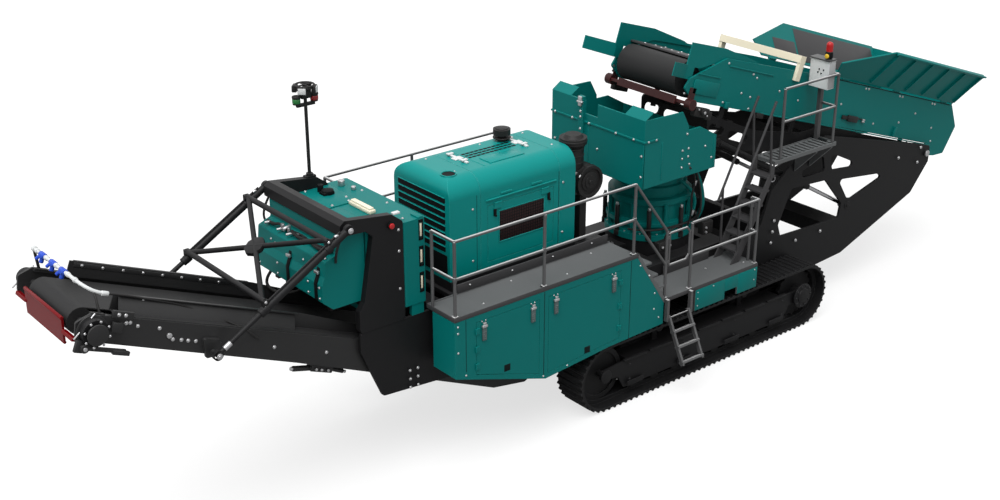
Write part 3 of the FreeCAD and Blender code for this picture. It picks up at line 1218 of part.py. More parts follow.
def feeder_head():
    """Raised side wings at the head and the plates that close their ends."""
    wing = [(F_HEAD - 110.0, F_LOW + 470.0), (F_HEAD - 110.0, F_LOW + 800.0), (-5600.0, F_LOW + 820.0),
            (-4900.0, F_TOP - 20.0), (-4700.0, F_HEAD_TOP - 10.0), (-5560.0, F_HEAD_TOP - 40.0),
            (-6050.0, F_LOW + 470.0)]
    y0 = -FEED_SIDE_Y + FEED_PLATE + SEAT_GAP
    plate = plate_xz(wing, y0, y0 + 16.0)
    tip = F_HEAD - 560.0
    root = F_HEAD - 90.0
    flare = flat_panel([(root, y0, F_LOW + 290.0), (root, y0, F_LOW + 490.0), (tip, y0 - 190.0, F_LOW + 500.0),
                        (tip, y0 - 190.0, F_LOW + 310.0)], (0.0, 16.0, 0.0))
    web = box(root, F_HEAD + 60.0, y0, y0 + 16.0, F_LOW + 290.0, F_LOW + 490.0)
    near = joined([plate, flare, web])
    return on_feeder(group([near, mirrored(near)]))


def belt_scraper():
    """Scraper blade across the head drum with its two tensioners."""
    x = F_HEAD + 20.0
    z = F_LOW - 40.0
    blade = box(x - 18.0, x + 4.0, -FEED_BELT_HALF, FEED_BELT_HALF, z - 50.0, z + 60.0)
    beam = box(x, x + 120.0, -FEED_BELT_HALF, FEED_BELT_HALF, z - 45.0, z + 15.0)
    ends = []
    for sign in (-1.0, 1.0):
        y0 = sign * (FEED_SIDE_Y + 55.0) - 55.0
        ends.append(box(x + 10.0, x + 110.0, min(0.0, sign * (FEED_SIDE_Y + 20.0)), max(0.0, sign * (FEED_SIDE_Y + 20.0)),
                        z - 20.0, z + 20.0))
        ends.append(pin_y(x + 60.0, z, y0, y0 + 110.0, 78.0))
        hang = sign * (FEED_SIDE_Y + 8.0)
        ends.append(box(x + 30.0, x + 150.0, hang - 8.0, hang + 8.0, z, F_LOW + 190.0))
    return on_feeder(joined([blade, beam] + ends))


def metal_detector():
    """Bridge of a metal detector across the feeder, on two brackets."""
    x = -3990.0
    half = FEED_SIDE_Y + 60.0
    bar_z = F_TOP + 100.0
    pieces = [box(x, x + 120.0, -half, half, bar_z, bar_z + 110.0)]
    for sign in (-1.0, 1.0):
        y = sign * (FEED_SIDE_Y + 30.0)
        pieces.append(box(x + 10.0, x + 110.0, y - 30.0, y + 30.0, F_TOP - 170.0, bar_z + 5.0))
    return on_feeder(joined(pieces))


# Hopper, on the feeder's top edges

def wing_outline():
    """Wing in its own plane: length along the hinge, width above it."""
    start = -HOPPER_REACH
    end = F_TAIL - 170.0
    return [(start - 140.0, WING_NOSE_WIDTH), (start + WING_NOSE_LENGTH - 140.0, WING_WIDTH),
            (end, WING_WIDTH), (end, 20.0), (start, 20.0)]


def hopper_wing():
    """Near wing with outer ribs and a rim, hinged on the side plate's top."""
    t = WING_PLATE
    panel = plate_xz(wing_outline(), -t, 0.0)
    pieces = [panel]
    end = F_TAIL - 170.0
    rim_start = -HOPPER_REACH + WING_NOSE_LENGTH - 140.0
    pieces.append(box(rim_start, end, -WING_RIB, 0.0, WING_WIDTH - 30.0, WING_WIDTH))
    for i in range(6):
        x = rim_start + 60.0 + i * (end - rim_start - 120.0) / 5.0
        pieces.append(box(x - 12.0, x + 12.0, -WING_RIB, 0.0, 60.0, WING_WIDTH - 10.0))
    for share in (0.08, 0.5, 0.92):
        x = -HOPPER_REACH + share * (end + HOPPER_REACH)
        pieces.append(bar((x - 90.0, -t / 2.0, 0.0), (x + 90.0, -t / 2.0, 0.0), WING_HINGE_R))
    wing = joined(pieces)
    wing.rotate(V(0, -t / 2.0, 0), V(1, 0, 0), WING_LEAN)
    wing.translate(V(0, -FEED_SIDE_Y + FEED_PLATE / 2.0 + t / 2.0, F_TOP + WING_HINGE_R + SEAT_GAP))
    return on_feeder(wing)


def rear_wall():
    """Fixed end wall of the hopper between the wings."""
    x = F_TAIL - 150.0
    low = FEED_SIDE_Y - FEED_PLATE - SEAT_GAP
    top_y = FEED_SIDE_Y + REAR_WALL_HEIGHT * math.tan(math.radians(WING_LEAN)) - 10.0
    wall = plate_yz([(-low, F_TOP - 220.0), (low, F_TOP - 220.0), (low, F_TOP + 20.0), (top_y, F_TOP + REAR_WALL_HEIGHT),
                     (-top_y, F_TOP + REAR_WALL_HEIGHT), (-low, F_TOP + 20.0)], x, x + 24.0)
    rim = box(x, x + 70.0, -top_y, top_y, F_TOP + REAR_WALL_HEIGHT - 30.0, F_TOP + REAR_WALL_HEIGHT)
    ribs = []
    for y in (-600.0, -200.0, 200.0, 600.0):
        ribs.append(box(x + 20.0, x + 70.0, y - 12.0, y + 12.0, F_TOP - 150.0, F_TOP + REAR_WALL_HEIGHT - 10.0))
    return on_feeder(joined([wall, rim] + ribs))


# Lift cylinders of the feeder

def lift_barrels():
    """Two barrels hung on the girders' pins."""
    top = (LIFT_TOP_X, -LIFT_Y, LIFT_TOP_Z)
    foot = (LIFT_FOOT_X, -LIFT_Y, LIFT_FOOT_Z)
    barrel = bar(along(top, foot, 40.0), along(top, foot, LIFT_BARREL_LENGTH), LIFT_BARREL_R)
    bore = bar(along(top, foot, 160.0), along(top, foot, LIFT_BARREL_LENGTH + 10.0), LIFT_ROD_R + ROD_GAP)
    eye = pin_y(top[0], top[2], -LIFT_Y - 26.0, -LIFT_Y + 26.0, LIFT_EYE_R)
    hole = pin_y(top[0], top[2], -LIFT_Y - 60.0, -LIFT_Y + 60.0, LIFT_PIN_R + SEAT_GAP)
    near = cut_away(joined([barrel, eye]), [bore, hole])
    return group([near, mirrored(near)])


def lift_rods():
    """Chrome rods with their eyes at the chassis pins."""
    top = (LIFT_TOP_X, -LIFT_Y, LIFT_TOP_Z)
    foot = (LIFT_FOOT_X, -LIFT_Y, LIFT_FOOT_Z)
    reach = V(*foot).sub(V(*top)).Length
    rod = bar(along(top, foot, LIFT_BARREL_LENGTH - 600.0), along(top, foot, reach - 40.0), LIFT_ROD_R)
    eye = pin_y(foot[0], foot[2], -LIFT_Y - 26.0, -LIFT_Y + 26.0, LIFT_EYE_R)
    hole = pin_y(foot[0], foot[2], -LIFT_Y - 30.0, -LIFT_Y + 30.0, LIFT_PIN_R + LIFT_EYE_PLAY)
    near = joined([rod, eye]).cut(hole)
    return group([near, mirrored(near)])


# Head of the product conveyor

def head_gear():
    """Gearbox and motor cover outside the head drum."""
    z = CONV_TOP_OVER_HINGE - CONV_DRUM_R - 30.0
    gearbox = pin_y(HEAD_X, z, -CONV_HALF - 120.0, -CONV_HALF, 150.0)
    cap = pin_y(HEAD_X, z, -CONV_HALF - 170.0, -CONV_HALF - 115.0, 95.0)
    motor = pin_y(HEAD_X, z, CONV_HALF, CONV_HALF + 190.0, 110.0)
    return on_conveyor(group([joined([gearbox, cap]), motor]))


def belt_plough():
    """Plough blade in front of the head drum, on two arms."""
    x = HEAD_X
    blade = plate_xz([(x - 112.0, -352.0), (x - 84.0, -356.0), (x - 194.0, -72.0), (x - 222.0, -80.0)],
                     -490.0, 490.0, 8.0)
    arms = []
    reach = CONV_HALF - CONV_PLATE
    for y0, y1 in ((-reach, -480.0), (480.0, reach)):
        arms.append(box(x - 172.0, x - 122.0, y0, y1, -245.0, -203.0))
    return on_conveyor(joined([blade] + arms))


def spray_bar():
    """Water bar with three nozzles above the head drum, on two posts."""
    x = HEAD_X + 10.0
    z = 300.0
    half = CONV_HALF - 45.0
    pieces = [bar((x, -half, z), (x, half, z), 24.0)]
    for y in (-320.0, 0.0, 320.0):
        pieces.append(bar((x, y, z + 10.0), (x, y, z - 90.0), 22.0))
    for y in (-half, half):
        pieces.append(box(x - 20.0, x + 20.0, y - 12.0, y + 12.0, CONV_TOP_OVER_HINGE, z + 24.0))
    return on_conveyor(joined(pieces))


NODES = {}


def add(name, shape):
    """Keep a node's shape under its name."""
    NODES[name] = shape


add("track_belt_near", track_belt())
add("track_frame_near", track_frame())
add("track_wheels_near", track_wheels())
for part in ("track_belt", "track_frame", "track_wheels"):
    add(part + "_far", mirrored(NODES[part + "_near"]))
add("chassis_side_near", chassis_side())
add("chassis_side_far", mirrored(chassis_side()))
add("chassis_cross_members", chassis_cross())
add("engine_deck", engine_deck())
add("gantry", gantry())
add("hydraulic_tank", hydraulic_tank())
add("cooler_cabinet", cooler_cabinet())
add("light_mast", light_mast())
add("engine_hood", engine_hood())
add("hood_door", hood_door())
add("engine_block", engine_block())
add("exhaust", exhaust())
add("air_cleaner", air_cleaner())
add("side_body_near", side_body(BODY_DOORS))
add("side_body_far", mirrored(side_body([])))
for name, x0, x1, hinge, heights in BODY_DOORS:
    add("body_door_" + name, body_door(x0, x1, hinge, heights))
add("walkway_near", walkway())
add("walkway_far", mirrored(walkway()))
add("lower_deck", lower_deck())
add("handrail_near", group([handrail(True), lower_rail()]))
add("handrail_far", mirrored(handrail(False)))
add("ladder_fixed", ladder_fixed())
add("ladder_fold", ladder_fold())
add("gate", gate())
add("access_stair", access_stair())
add("platform", platform())
add("platform_rails", platform_rails())
add("control_cabinet", control_cabinet())
add("crusher_base", crusher_base())
add("crusher_bowl", crusher_bowl())
add("feed_box", feed_box())
add("conveyor_tail", conveyor_tail())
add("tail_belt", tail_belt())
add("conveyor_frame", conveyor_frame())
add("conveyor_belt", conveyor_belt())
add("conveyor_skirts", conveyor_skirts())
add("strut_barrels", strut_barrels())
add("strut_rods", strut_rods())
add("feeder_sides", feeder_sides())
add("feeder_belt", feeder_belt())
add("feeder_girder", feeder_girder())
add("feeder_head", feeder_head())
add("belt_scraper", belt_scraper())
add("metal_detector", metal_detector())
add("wing_near", hopper_wing())
add("wing_far", mirrored(hopper_wing()))
add("rear_wall", rear_wall())
add("lift_barrels", lift_barrels())
add("lift_rods", lift_rods())
add("head_gear", head_gear())
add("belt_plough", belt_plough())
add("spray_bar", spray_bar())

os.makedirs("parts", exist_ok=True)
for name, shape in NODES.items():
    shape.exportStep("parts/" + name + ".step")
    print(name, len(shape.Solids), "valid" if shape.isValid() else "INVALID", round(shape.Volume / 1e9, 4))
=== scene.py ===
import math
import bpy
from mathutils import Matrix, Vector


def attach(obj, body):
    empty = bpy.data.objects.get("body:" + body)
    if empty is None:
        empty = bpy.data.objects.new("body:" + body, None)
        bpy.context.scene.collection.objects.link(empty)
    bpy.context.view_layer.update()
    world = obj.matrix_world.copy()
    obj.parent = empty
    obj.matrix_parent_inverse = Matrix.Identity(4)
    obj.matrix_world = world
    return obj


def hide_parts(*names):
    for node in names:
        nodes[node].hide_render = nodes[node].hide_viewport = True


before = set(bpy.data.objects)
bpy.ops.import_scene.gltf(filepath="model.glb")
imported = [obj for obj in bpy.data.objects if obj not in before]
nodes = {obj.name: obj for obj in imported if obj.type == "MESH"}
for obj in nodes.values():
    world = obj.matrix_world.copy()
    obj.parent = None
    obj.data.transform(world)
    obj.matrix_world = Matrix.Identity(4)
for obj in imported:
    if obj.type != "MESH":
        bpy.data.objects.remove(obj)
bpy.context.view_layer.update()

# Studio. A pale floor, a broad soft key from above and a little ahead of the
# machine, and a dim room, with the camera at the photograph's place and angle.
scene = bpy.context.scene
scene.view_settings.view_transform = "Standard"
bpy.ops.object.select_all(action="DESELECT")
bpy.ops.object.camera_add(location=(-14.18, -13.83, 10.0))
camera = bpy.context.object
pitch = math.radians(23.6)
look = Vector((0.633 * math.cos(pitch), 0.774 * math.cos(pitch), -math.sin(pitch)))
camera.rotation_euler = look.to_track_quat("-Z", "Y").to_euler()
camera.data.sensor_width = 36.0
camera.data.lens = 51.2
camera.data.clip_end = 400.0
scene.camera = camera

bpy.ops.object.light_add(type="SUN", location=(-6.0, -4.0, 14.0))
key = bpy.context.object
key.name = "soft_key"
key.rotation_euler = Vector((0.36, 0.2, -0.91)).to_track_quat("-Z", "Y").to_euler()
key.data.energy = 3.0
key.data.angle = math.radians(55.0)

room = bpy.data.worlds.new("pale_room")
scene.world = room
room.use_nodes = True
tree = room.node_tree
add, link = tree.nodes.new, tree.links.new
tree.nodes.clear()
out = add("ShaderNodeOutputWorld")
back = add("ShaderNodeBackground")
back.inputs["Color"].default_value = (1.0, 1.0, 1.0, 1.0)
back.inputs["Strength"].default_value = 1.0
fill = add("ShaderNodeBackground")
fill.inputs["Strength"].default_value = 0.62
sky = add("ShaderNodeTexCoord")
split = add("ShaderNodeSeparateXYZ")
height = add("ShaderNodeMapRange")
height.inputs["From Min"].default_value = -0.2
height.inputs["From Max"].default_value = 0.9
height.inputs["To Min"].default_value = 0.42
height.inputs["To Max"].default_value = 1.35
rays = add("ShaderNodeLightPath")
seen = add("ShaderNodeMath")
seen.operation = "MAXIMUM"
through = add("ShaderNodeMath")
through.operation = "MAXIMUM"
mixer = add("ShaderNodeMixShader")
link(sky.outputs["Generated"], split.inputs[0])
link(split.outputs["Z"], height.inputs["Value"])
link(height.outputs["Result"], fill.inputs["Color"])
link(rays.outputs["Is Camera Ray"], seen.inputs[0])
link(rays.outputs["Is Glossy Ray"], seen.inputs[1])
link(seen.outputs[0], through.inputs[0])
link(rays.outputs["Is Transmission Ray"], through.inputs[1])
link(through.outputs[0], mixer.inputs[0])
link(fill.outputs[0], mixer.inputs[1])
link(back.outputs[0], mixer.inputs[2])
link(mixer.outputs[0], out.inputs["Surface"])

bpy.ops.object.select_all(action="DESELECT")
bpy.ops.mesh.primitive_plane_add(size=320.0, location=(0.0, 0.0, -0.003))
floor = bpy.context.object
floor.name = "studio_floor"
floor_paint = bpy.data.materials.new("studio_floor")
floor_paint.use_nodes = True
tree = floor_paint.node_tree
add, link = tree.nodes.new, tree.links.new
shader = tree.nodes["Principled BSDF"]
shader.inputs["Roughness"].default_value = 0.9
shader.inputs["Specular IOR Level"].default_value = 0.0
rays = add("ShaderNodeLightPath")
tone = add("ShaderNodeMix")
tone.data_type = "RGBA"
tone.inputs[6].default_value = (0.3, 0.3, 0.3, 1.0)
tone.inputs[7].default_value = (0.97, 0.97, 0.97, 1.0)
white = add("ShaderNodeEmission")
white.inputs["Strength"].default_value = 1.0
share = add("ShaderNodeMath")
share.operation = "MULTIPLY"
share.inputs[1].default_value = 0.7
blend = add("ShaderNodeMixShader")
link(rays.outputs["Is Camera Ray"], tone.inputs[0])
link(tone.outputs[2], shader.inputs["Base Color"])
link(rays.outputs["Is Camera Ray"], share.inputs[0])
link(share.outputs[0], blend.inputs[0])
link(shader.outputs[0], blend.inputs[1])
link(white.outputs[0], blend.inputs[2])
link(blend.outputs[0], tree.nodes["Material Output"].inputs["Surface"])
floor.data.materials.append(floor_paint)


def machine_finish(name, colour, edge_highlight_colour, rough, metal=0.0, cloud=0.12, shine=0.5, grain=0.02,
    grain_scale=260.0, edge_highlight_amount=0.5, top_sheen_and_dust=0.0):
    """Finish with cloudy tone, fine grain, painted top sheen and dust on upward faces, and painted highlights
    on edges.
    """
    finish = bpy.data.materials.new(name)
    finish.use_nodes = True
    tree = finish.node_tree
    add = tree.nodes.new
    link = tree.links.new
    shader = tree.nodes["Principled BSDF"]
    shader.inputs["Metallic"].default_value = metal
    shader.inputs["Specular IOR Level"].default_value = shine
    place = add("ShaderNodeTexCoord")
    cloud_map = add("ShaderNodeTexNoise")
    cloud_map.inputs["Scale"].default_value = 1.7
    cloud_map.inputs["Detail"].default_value = 6.0
    fine_map = add("ShaderNodeTexNoise")
    fine_map.inputs["Scale"].default_value = grain_scale
    fine_map.inputs["Detail"].default_value = 3.0
    link(place.outputs["Object"], cloud_map.inputs["Vector"])
    link(place.outputs["Object"], fine_map.inputs["Vector"])
    dark = add("ShaderNodeMix")
    dark.data_type = "RGBA"
    dark.inputs[6].default_value = tuple(c * (1.0 - cloud) for c in colour) + (1.0,)
    dark.inputs[7].default_value = tuple(min(1.0, c * (1.0 + cloud)) for c in colour) + (1.0,)
    link(cloud_map.outputs[0], dark.inputs[0])
    # Painted highlight: edges, found where the bevel normal turns from the face normal, are lightened towards
    # the edge colour.
    round_edge = add("ShaderNodeBevel")
    round_edge.samples = 4
    round_edge.inputs["Radius"].default_value = 0.008
    flat = add("ShaderNodeNewGeometry")
    bend = add("ShaderNodeVectorMath")
    bend.operation = "DOT_PRODUCT"
    link(round_edge.outputs[0], bend.inputs[0])
    link(flat.outputs["Normal"], bend.inputs[1])
    edge = add("ShaderNodeMapRange")
    edge.inputs["From Min"].default_value = 0.995
    edge.inputs["From Max"].default_value = 0.85
    edge.inputs["To Max"].default_value = edge_highlight_amount
    link(bend.outputs["Value"], edge.inputs["Value"])
    edge_highlight_mix = add("ShaderNodeMix")
    edge_highlight_mix.data_type = "RGBA"
    edge_highlight_mix.inputs[7].default_value = tuple(edge_highlight_colour) + (1.0,)
    link(edge.outputs["Result"], edge_highlight_mix.inputs[0])
    link(dark.outputs[2], edge_highlight_mix.inputs[6])
    top = edge_highlight_mix.outputs[2]
    # Painted top sheen with dust: faces that point up are lightened towards a tone between the edge colour and
    # the base colour.
    if top_sheen_and_dust > 0.0:
        up = add("ShaderNodeSeparateXYZ")
        link(flat.outputs["Normal"], up.inputs[0])
        lie = add("ShaderNodeMapRange")
        lie.inputs["From Min"].default_value = 0.55
        lie.inputs["From Max"].default_value = 1.0
        lie.inputs["To Max"].default_value = top_sheen_and_dust
        link(up.outputs["Z"], lie.inputs["Value"])
        top_sheen_and_dust_tone = add("ShaderNodeMix")
        top_sheen_and_dust_tone.data_type = "RGBA"
        top_sheen_and_dust_tone.inputs[7].default_value = tuple(0.6 * e + 0.4 * c for e, c in zip(edge_highlight_colour, colour)) + (1.0,)
        link(lie.outputs["Result"], top_sheen_and_dust_tone.inputs[0])
        link(edge_highlight_mix.outputs[2], top_sheen_and_dust_tone.inputs[6])
        top = top_sheen_and_dust_tone.outputs[2]
    link(top, shader.inputs["Base Color"])
    gloss = add("ShaderNodeMapRange")
    gloss.inputs["To Min"].default_value = rough - 0.07
    gloss.inputs["To Max"].default_value = rough + 0.09
    link(cloud_map.outputs[0], gloss.inputs["Value"])
    link(gloss.outputs["Result"], shader.inputs["Roughness"])
    bump = add("ShaderNodeBump")
    bump.inputs["Strength"].default_value = grain
    bump.inputs["Distance"].default_value = 0.004
    link(fine_map.outputs[0], bump.inputs["Height"])
    link(round_edge.outputs[0], bump.inputs["Normal"])
    link(bump.outputs[0], shader.inputs["Normal"])
    return finish


def wear_finish(finish, *names):
    """Give finished steelwork its coat."""
    for name in names:
        mesh = nodes[name].data
        mesh.materials.clear()
        mesh.materials.append(finish)


def settle():
    """Write the chosen part's place, turn and scale into its mesh."""
    bpy.ops.object.transform_apply(location=True, rotation=True, scale=True)


def pressed_block(low, high, edge=0.004):
    """Steel block or plate between two corners with eased edges."""
    bpy.ops.object.select_all(action="DESELECT")
    middle = [(a + b) / 2.0 for a, b in zip(low, high)]
    bpy.ops.mesh.primitive_cube_add(size=1.0, location=middle)
    block = bpy.context.object
    block.scale = [b - a for a, b in zip(low, high)]
    bpy.ops.object.transform_apply(location=True, rotation=False, scale=True)
    if edge > 0.0:
        bpy.ops.object.mode_set(mode="EDIT")
        bpy.ops.mesh.select_all(action="SELECT")
        bpy.ops.mesh.bevel(offset=edge, segments=2, affect="EDGES")
        bpy.ops.object.mode_set(mode="OBJECT")
    return block


def turned_rod(start, end, radius, sides=14, edge=0.003):
    """Round bar between two points with eased ends."""
    start = Vector(start)
    end = Vector(end)
    bpy.ops.object.select_all(action="DESELECT")
    bpy.ops.mesh.primitive_cylinder_add(vertices=sides, radius=radius, depth=(end - start).length,
        location=(start + end) / 2.0, rotation=(end - start).to_track_quat("Z", "Y").to_euler())
    rod = bpy.context.object
    if edge > 0.0:
        bpy.ops.object.mode_set(mode="EDIT")
        bpy.ops.mesh.select_all(action="DESELECT")
        bpy.ops.mesh.select_mode(type="FACE")
        bpy.ops.object.mode_set(mode="OBJECT")
        for face in rod.data.polygons:
            face.select = len(face.vertices) > 4
        bpy.ops.object.mode_set(mode="EDIT")
        bpy.ops.mesh.region_to_loop()
        bpy.ops.mesh.bevel(offset=min(edge, radius * 0.3), segments=2, affect="EDGES")
        bpy.ops.object.mode_set(mode="OBJECT")
    return rod


def pressed_blocks(*rows):
    """Blocks from rows of low x, y, z, high x, y, z and edge."""
    return [pressed_block(row[:3], row[3:6], *row[6:]) for row in rows]


def turned_rods(*rows):
    """Round bars from rows of start x, y, z, end x, y, z, radius, sides and edge."""
    return [turned_rod(row[:3], row[3:6], *row[6:]) for row in rows]


def bent_pipe(points, radius, sides=10):
    """Pipe or hose that bends smoothly through its points."""
    bpy.ops.object.select_all(action="DESELECT")
    bpy.ops.curve.primitive_nurbs_path_add(location=(0.0, 0.0, 0.0))
    run = bpy.context.object
    spline = run.data.splines[0]
    if len(points) > 5:
        spline.points.add(len(points) - 5)
    while len(points) < 5:
        wide = max(range(len(points) - 1), key=lambda i: (Vector(points[i + 1]) - Vector(points[i])).length)
        points = points[:wide + 1] + [tuple((Vector(points[wide]) + Vector(points[wide + 1])) / 2.0)] + points[wide + 1:]
    for point, place in zip(spline.points, points):
        point.co = (*place, 1.0)
    spline.order_u = 3
    spline.use_endpoint_u = True
    spline.resolution_u = 5
    run.data.bevel_depth = radius
    run.data.bevel_resolution = max(1, sides // 4)
    run.data.use_fill_caps = True
    bpy.ops.object.convert(target="MESH")
    return bpy.context.object


def bolt_heads(places, normal, radius=0.016, height=0.012):
    """One hexagon bolt on its washer, copied to each place."""
    bpy.ops.object.select_all(action="DESELECT")
    turn = Vector(normal).to_track_quat("Z", "Y").to_euler()
    bpy.ops.mesh.primitive_cylinder_add(vertices=12, radius=radius * 1.35, depth=height * 0.5,
        location=(0.0, 0.0, 0.0))
    washer = bpy.context.object
    bpy.ops.mesh.primitive_cylinder_add(vertices=6, radius=radius, depth=height,
        location=(0.0, 0.0, height * 0.6))
    bpy.ops.object.mode_set(mode="EDIT")
    bpy.ops.mesh.select_all(action="SELECT")
    bpy.ops.mesh.bevel(offset=radius * 0.12, segments=1, affect="EDGES")
    bpy.ops.object.mode_set(mode="OBJECT")
    washer.select_set(True)
    bpy.ops.object.join()
    first = bpy.context.object
    settle()
    bolts = []
    for place in places:
        bolt = bpy.data.objects.new("bolt", first.data.copy())
        scene.collection.objects.link(bolt)
        bolt.rotation_euler = turn
        bolt.location = place
        bolts.append(bolt)
    bpy.data.objects.remove(first)
    return bolts


def fit_piece(parts, name, finish, body="chassis", seat=None, slope=0.0):
    """Join a piece's parts, set it on its slope, coat it and hang it on its body."""
    bpy.ops.object.select_all(action="DESELECT")
    for part in parts:
        part.select_set(True)
    bpy.context.view_layer.objects.active = parts[0]
    bpy.ops.object.join()
    piece = bpy.context.object
    settle()
    if seat:
        piece.rotation_euler = (0.0, math.radians(slope), 0.0)
        piece.location = seat
        settle()
    bpy.ops.object.shade_smooth_by_angle(angle=math.radians(35.0))
    piece.name = name
    piece.data.name = name
    piece.data.materials.clear()
    piece.data.materials.append(finish)
    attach(piece, body)
    return piece


track_iron = machine_finish("cast_track_iron", (0.0085, 0.0085, 0.009), (0.05, 0.05, 0.052),
    0.55, cloud=0.4, shine=0.2, grain=0.3, grain_scale=90.0, edge_highlight_amount=0.7)
wear_finish(track_iron, "track_belt_near", "track_belt_far", "track_wheels_near", "track_wheels_far")
black_paint = machine_finish("satin_black_paint", (0.0095, 0.0095, 0.0102),
    (0.036, 0.035, 0.036), 0.45, cloud=0.15, shine=0.16, grain=0.05, edge_highlight_amount=0.6, top_sheen_and_dust=0.45)
wear_finish(black_paint, "track_frame_near", "track_frame_far", "chassis_side_near", "chassis_side_far",
    "chassis_cross_members", "engine_deck", "gantry", "engine_block", "crusher_base", "conveyor_tail",
    "conveyor_frame", "conveyor_skirts", "strut_barrels", "feeder_girder", "lift_barrels", "head_gear")
near_way, far_way = (0.0, -1.0, 0.0), (0.0, 1.0, 0.0)
up_way, front_way = (0.0, 0.0, 1.0), (-1.0, 0.0, 0.0)
silver = machine_finish("plated_steel", (0.5, 0.5, 0.51), (0.8, 0.8, 0.8), 0.3, metal=0.85,
    cloud=0.15, grain=0.1, edge_highlight_amount=0.4)
axle_z = 0.515
for side, name in ((-1.0, "near"), (1.0, "far")):
    face = side * 1.345
    parts = []
    low_y, high_y = sorted((face, face - side * 0.05))
    for i in range(7):
        x = -1.72 + i * 0.5
        parts.append(pressed_block((x, low_y, 0.618), (x + 0.43, high_y, 0.648), 0.006))
    for x, first_y, last_y, radius, sides, edge in ((2.08, -0.004, 0.03, 0.2, 28, 0.012),
        (2.08, 0.026, 0.05, 0.12, 24, 0.012), (-2.08, -0.004, 0.022, 0.1, 20, 0.01)):
        parts.append(turned_rod((x, face + side * first_y, axle_z), (x, face + side * last_y, axle_z), radius,
            sides, edge))
    low_y, high_y = sorted((face, face + side * 0.012))
    for x in (-1.5, -0.5, 0.5, 1.5):
        parts.append(pressed_block((x - 0.16, low_y, 0.22), (x + 0.16, high_y, 0.3), 0.005))
    fit_piece(parts, "track_guards_" + name, black_paint)
    ring = [(2.08 + 0.165 * math.cos(a), face + side * 0.032, axle_z + 0.165 * math.sin(a))
        for a in [i * math.pi / 5.0 for i in range(10)]]
    bolts = bolt_heads(ring, (0.0, side, 0.0), 0.013, 0.012)
    bolts += bolt_heads([(x, face + side * 0.004, z) for x in (-1.62, -0.54, 0.54, 1.62) for z in (0.33, 0.56)],
        (0.0, side, 0.0), 0.012, 0.01)
    fit_piece(bolts, "track_bolts_" + name, track_iron)

# Main frame. Two plate sides with the open windows of the rear frame, with
# plated pins at both pivots and rows of bolts through the plates.
pin_heads = []
for side in (-1.0, 1.0):
    pin_heads.append(turned_rod((5.7, side * 0.872, 1.9), (5.7, side * 0.9, 1.9), 0.055, 20, 0.006))
    pin_heads.append(turned_rod((-2.9, side * 0.872, 0.8), (-2.9, side * 0.9, 0.8), 0.05, 20, 0.006))
    pin_heads += bolt_heads([(x, side * 0.883, z) for x, z in ((1.84, 1.68), (1.82, 1.5), (1.8, 1.32),
        (2.4, 1.2), (3.0, 1.2), (5.45, 1.8), (5.5, 2.05), (4.9, 2.0))], (0.0, side, 0.0), 0.02, 0.014)
    pin_heads += bolt_heads([(x, side * 0.883, z) for x in (-5.05, -4.93) for z in (1.2, 1.32, 1.44)],
        (0.0, side, 0.0), 0.015, 0.012)
fit_piece(pin_heads, "frame_pins", silver)
guards = []
for side in (-1.0, 1.0):
    a, b = sorted((side * 0.874, side * 0.886))
    guards += pressed_blocks((-2.2, a, 0.36, 2.2, b, 0.97, 0.003),
        (-1.9, min(a, b), 0.6, 1.9, max(a, b) + (0.004 if side > 0 else 0.0), 0.64, 0.002))
fit_piece(guards, "track_inner_guards", black_paint)

# Side bodies and their doors. Folded green sheet with flush doors on outside
# hinges, held by over-centre latches with a plated hook and a grey strap, and
# square finger recesses whose dark is painted shade.
teal_paint = machine_finish("gloss_teal_paint", (0.001, 0.15, 0.14), (0.012, 0.31, 0.285), 0.4,
    cloud=0.05, shine=0.12, grain=0.015, edge_highlight_amount=0.55)
wear_finish(teal_paint, "hydraulic_tank", "cooler_cabinet", "side_body_near", "side_body_far",
    "body_door_front", "body_door_rear", "crusher_bowl", "feed_box", "feeder_sides", "feeder_head", "wing_near",
    "wing_far", "rear_wall")
strap_grey = machine_finish("latch_strap_grey", (0.075, 0.105, 0.105), (0.2, 0.2, 0.2), 0.5,
    cloud=0.1, shine=0.3, grain=0.1)
# Painted shade in the finger recesses and the wing seam gaps, and the dark of the panel seams.
recess_shade_and_seam_dark = machine_finish("recess_shade_and_seam_dark", (0.004, 0.008, 0.008), (0.02, 0.03, 0.03), 0.7,
    cloud=0.2, shine=0.1)
outer = -1.45
for body, marks in (("body_door_front", (-4.315, -3.515)), ("body_door_rear", (-3.125, -2.095))):
    straps = [pressed_block((x - 0.031, outer - 0.026, 1.86), (x + 0.031, outer + 0.002, 2.055), 0.006)
        for x in marks]
    straps += [pressed_block((x - 0.022, outer - 0.031, z), (x + 0.022, outer - 0.02, z + 0.012), 0.003)
        for x in marks for z in (1.88, 1.91, 1.94, 1.97)]
    fit_piece(straps, body + "_straps", strap_grey, body)
    hooks = [pressed_block((x - 0.042, outer - 0.034, 2.04), (x + 0.042, outer + 0.002, 2.075), 0.007)
        for x in marks]
    hooks += [pressed_block((x - 0.024, outer - 0.03, 2.07), (x + 0.024, outer - 0.002, 2.112), 0.006)
        for x in marks]
    hooks += bolt_heads([(x + d, outer - 0.003, 2.125) for x in marks for d in (-0.03, 0.03)], near_way, 0.008,
        0.006)
    fit_piece(hooks, body + "_hooks", silver, body)
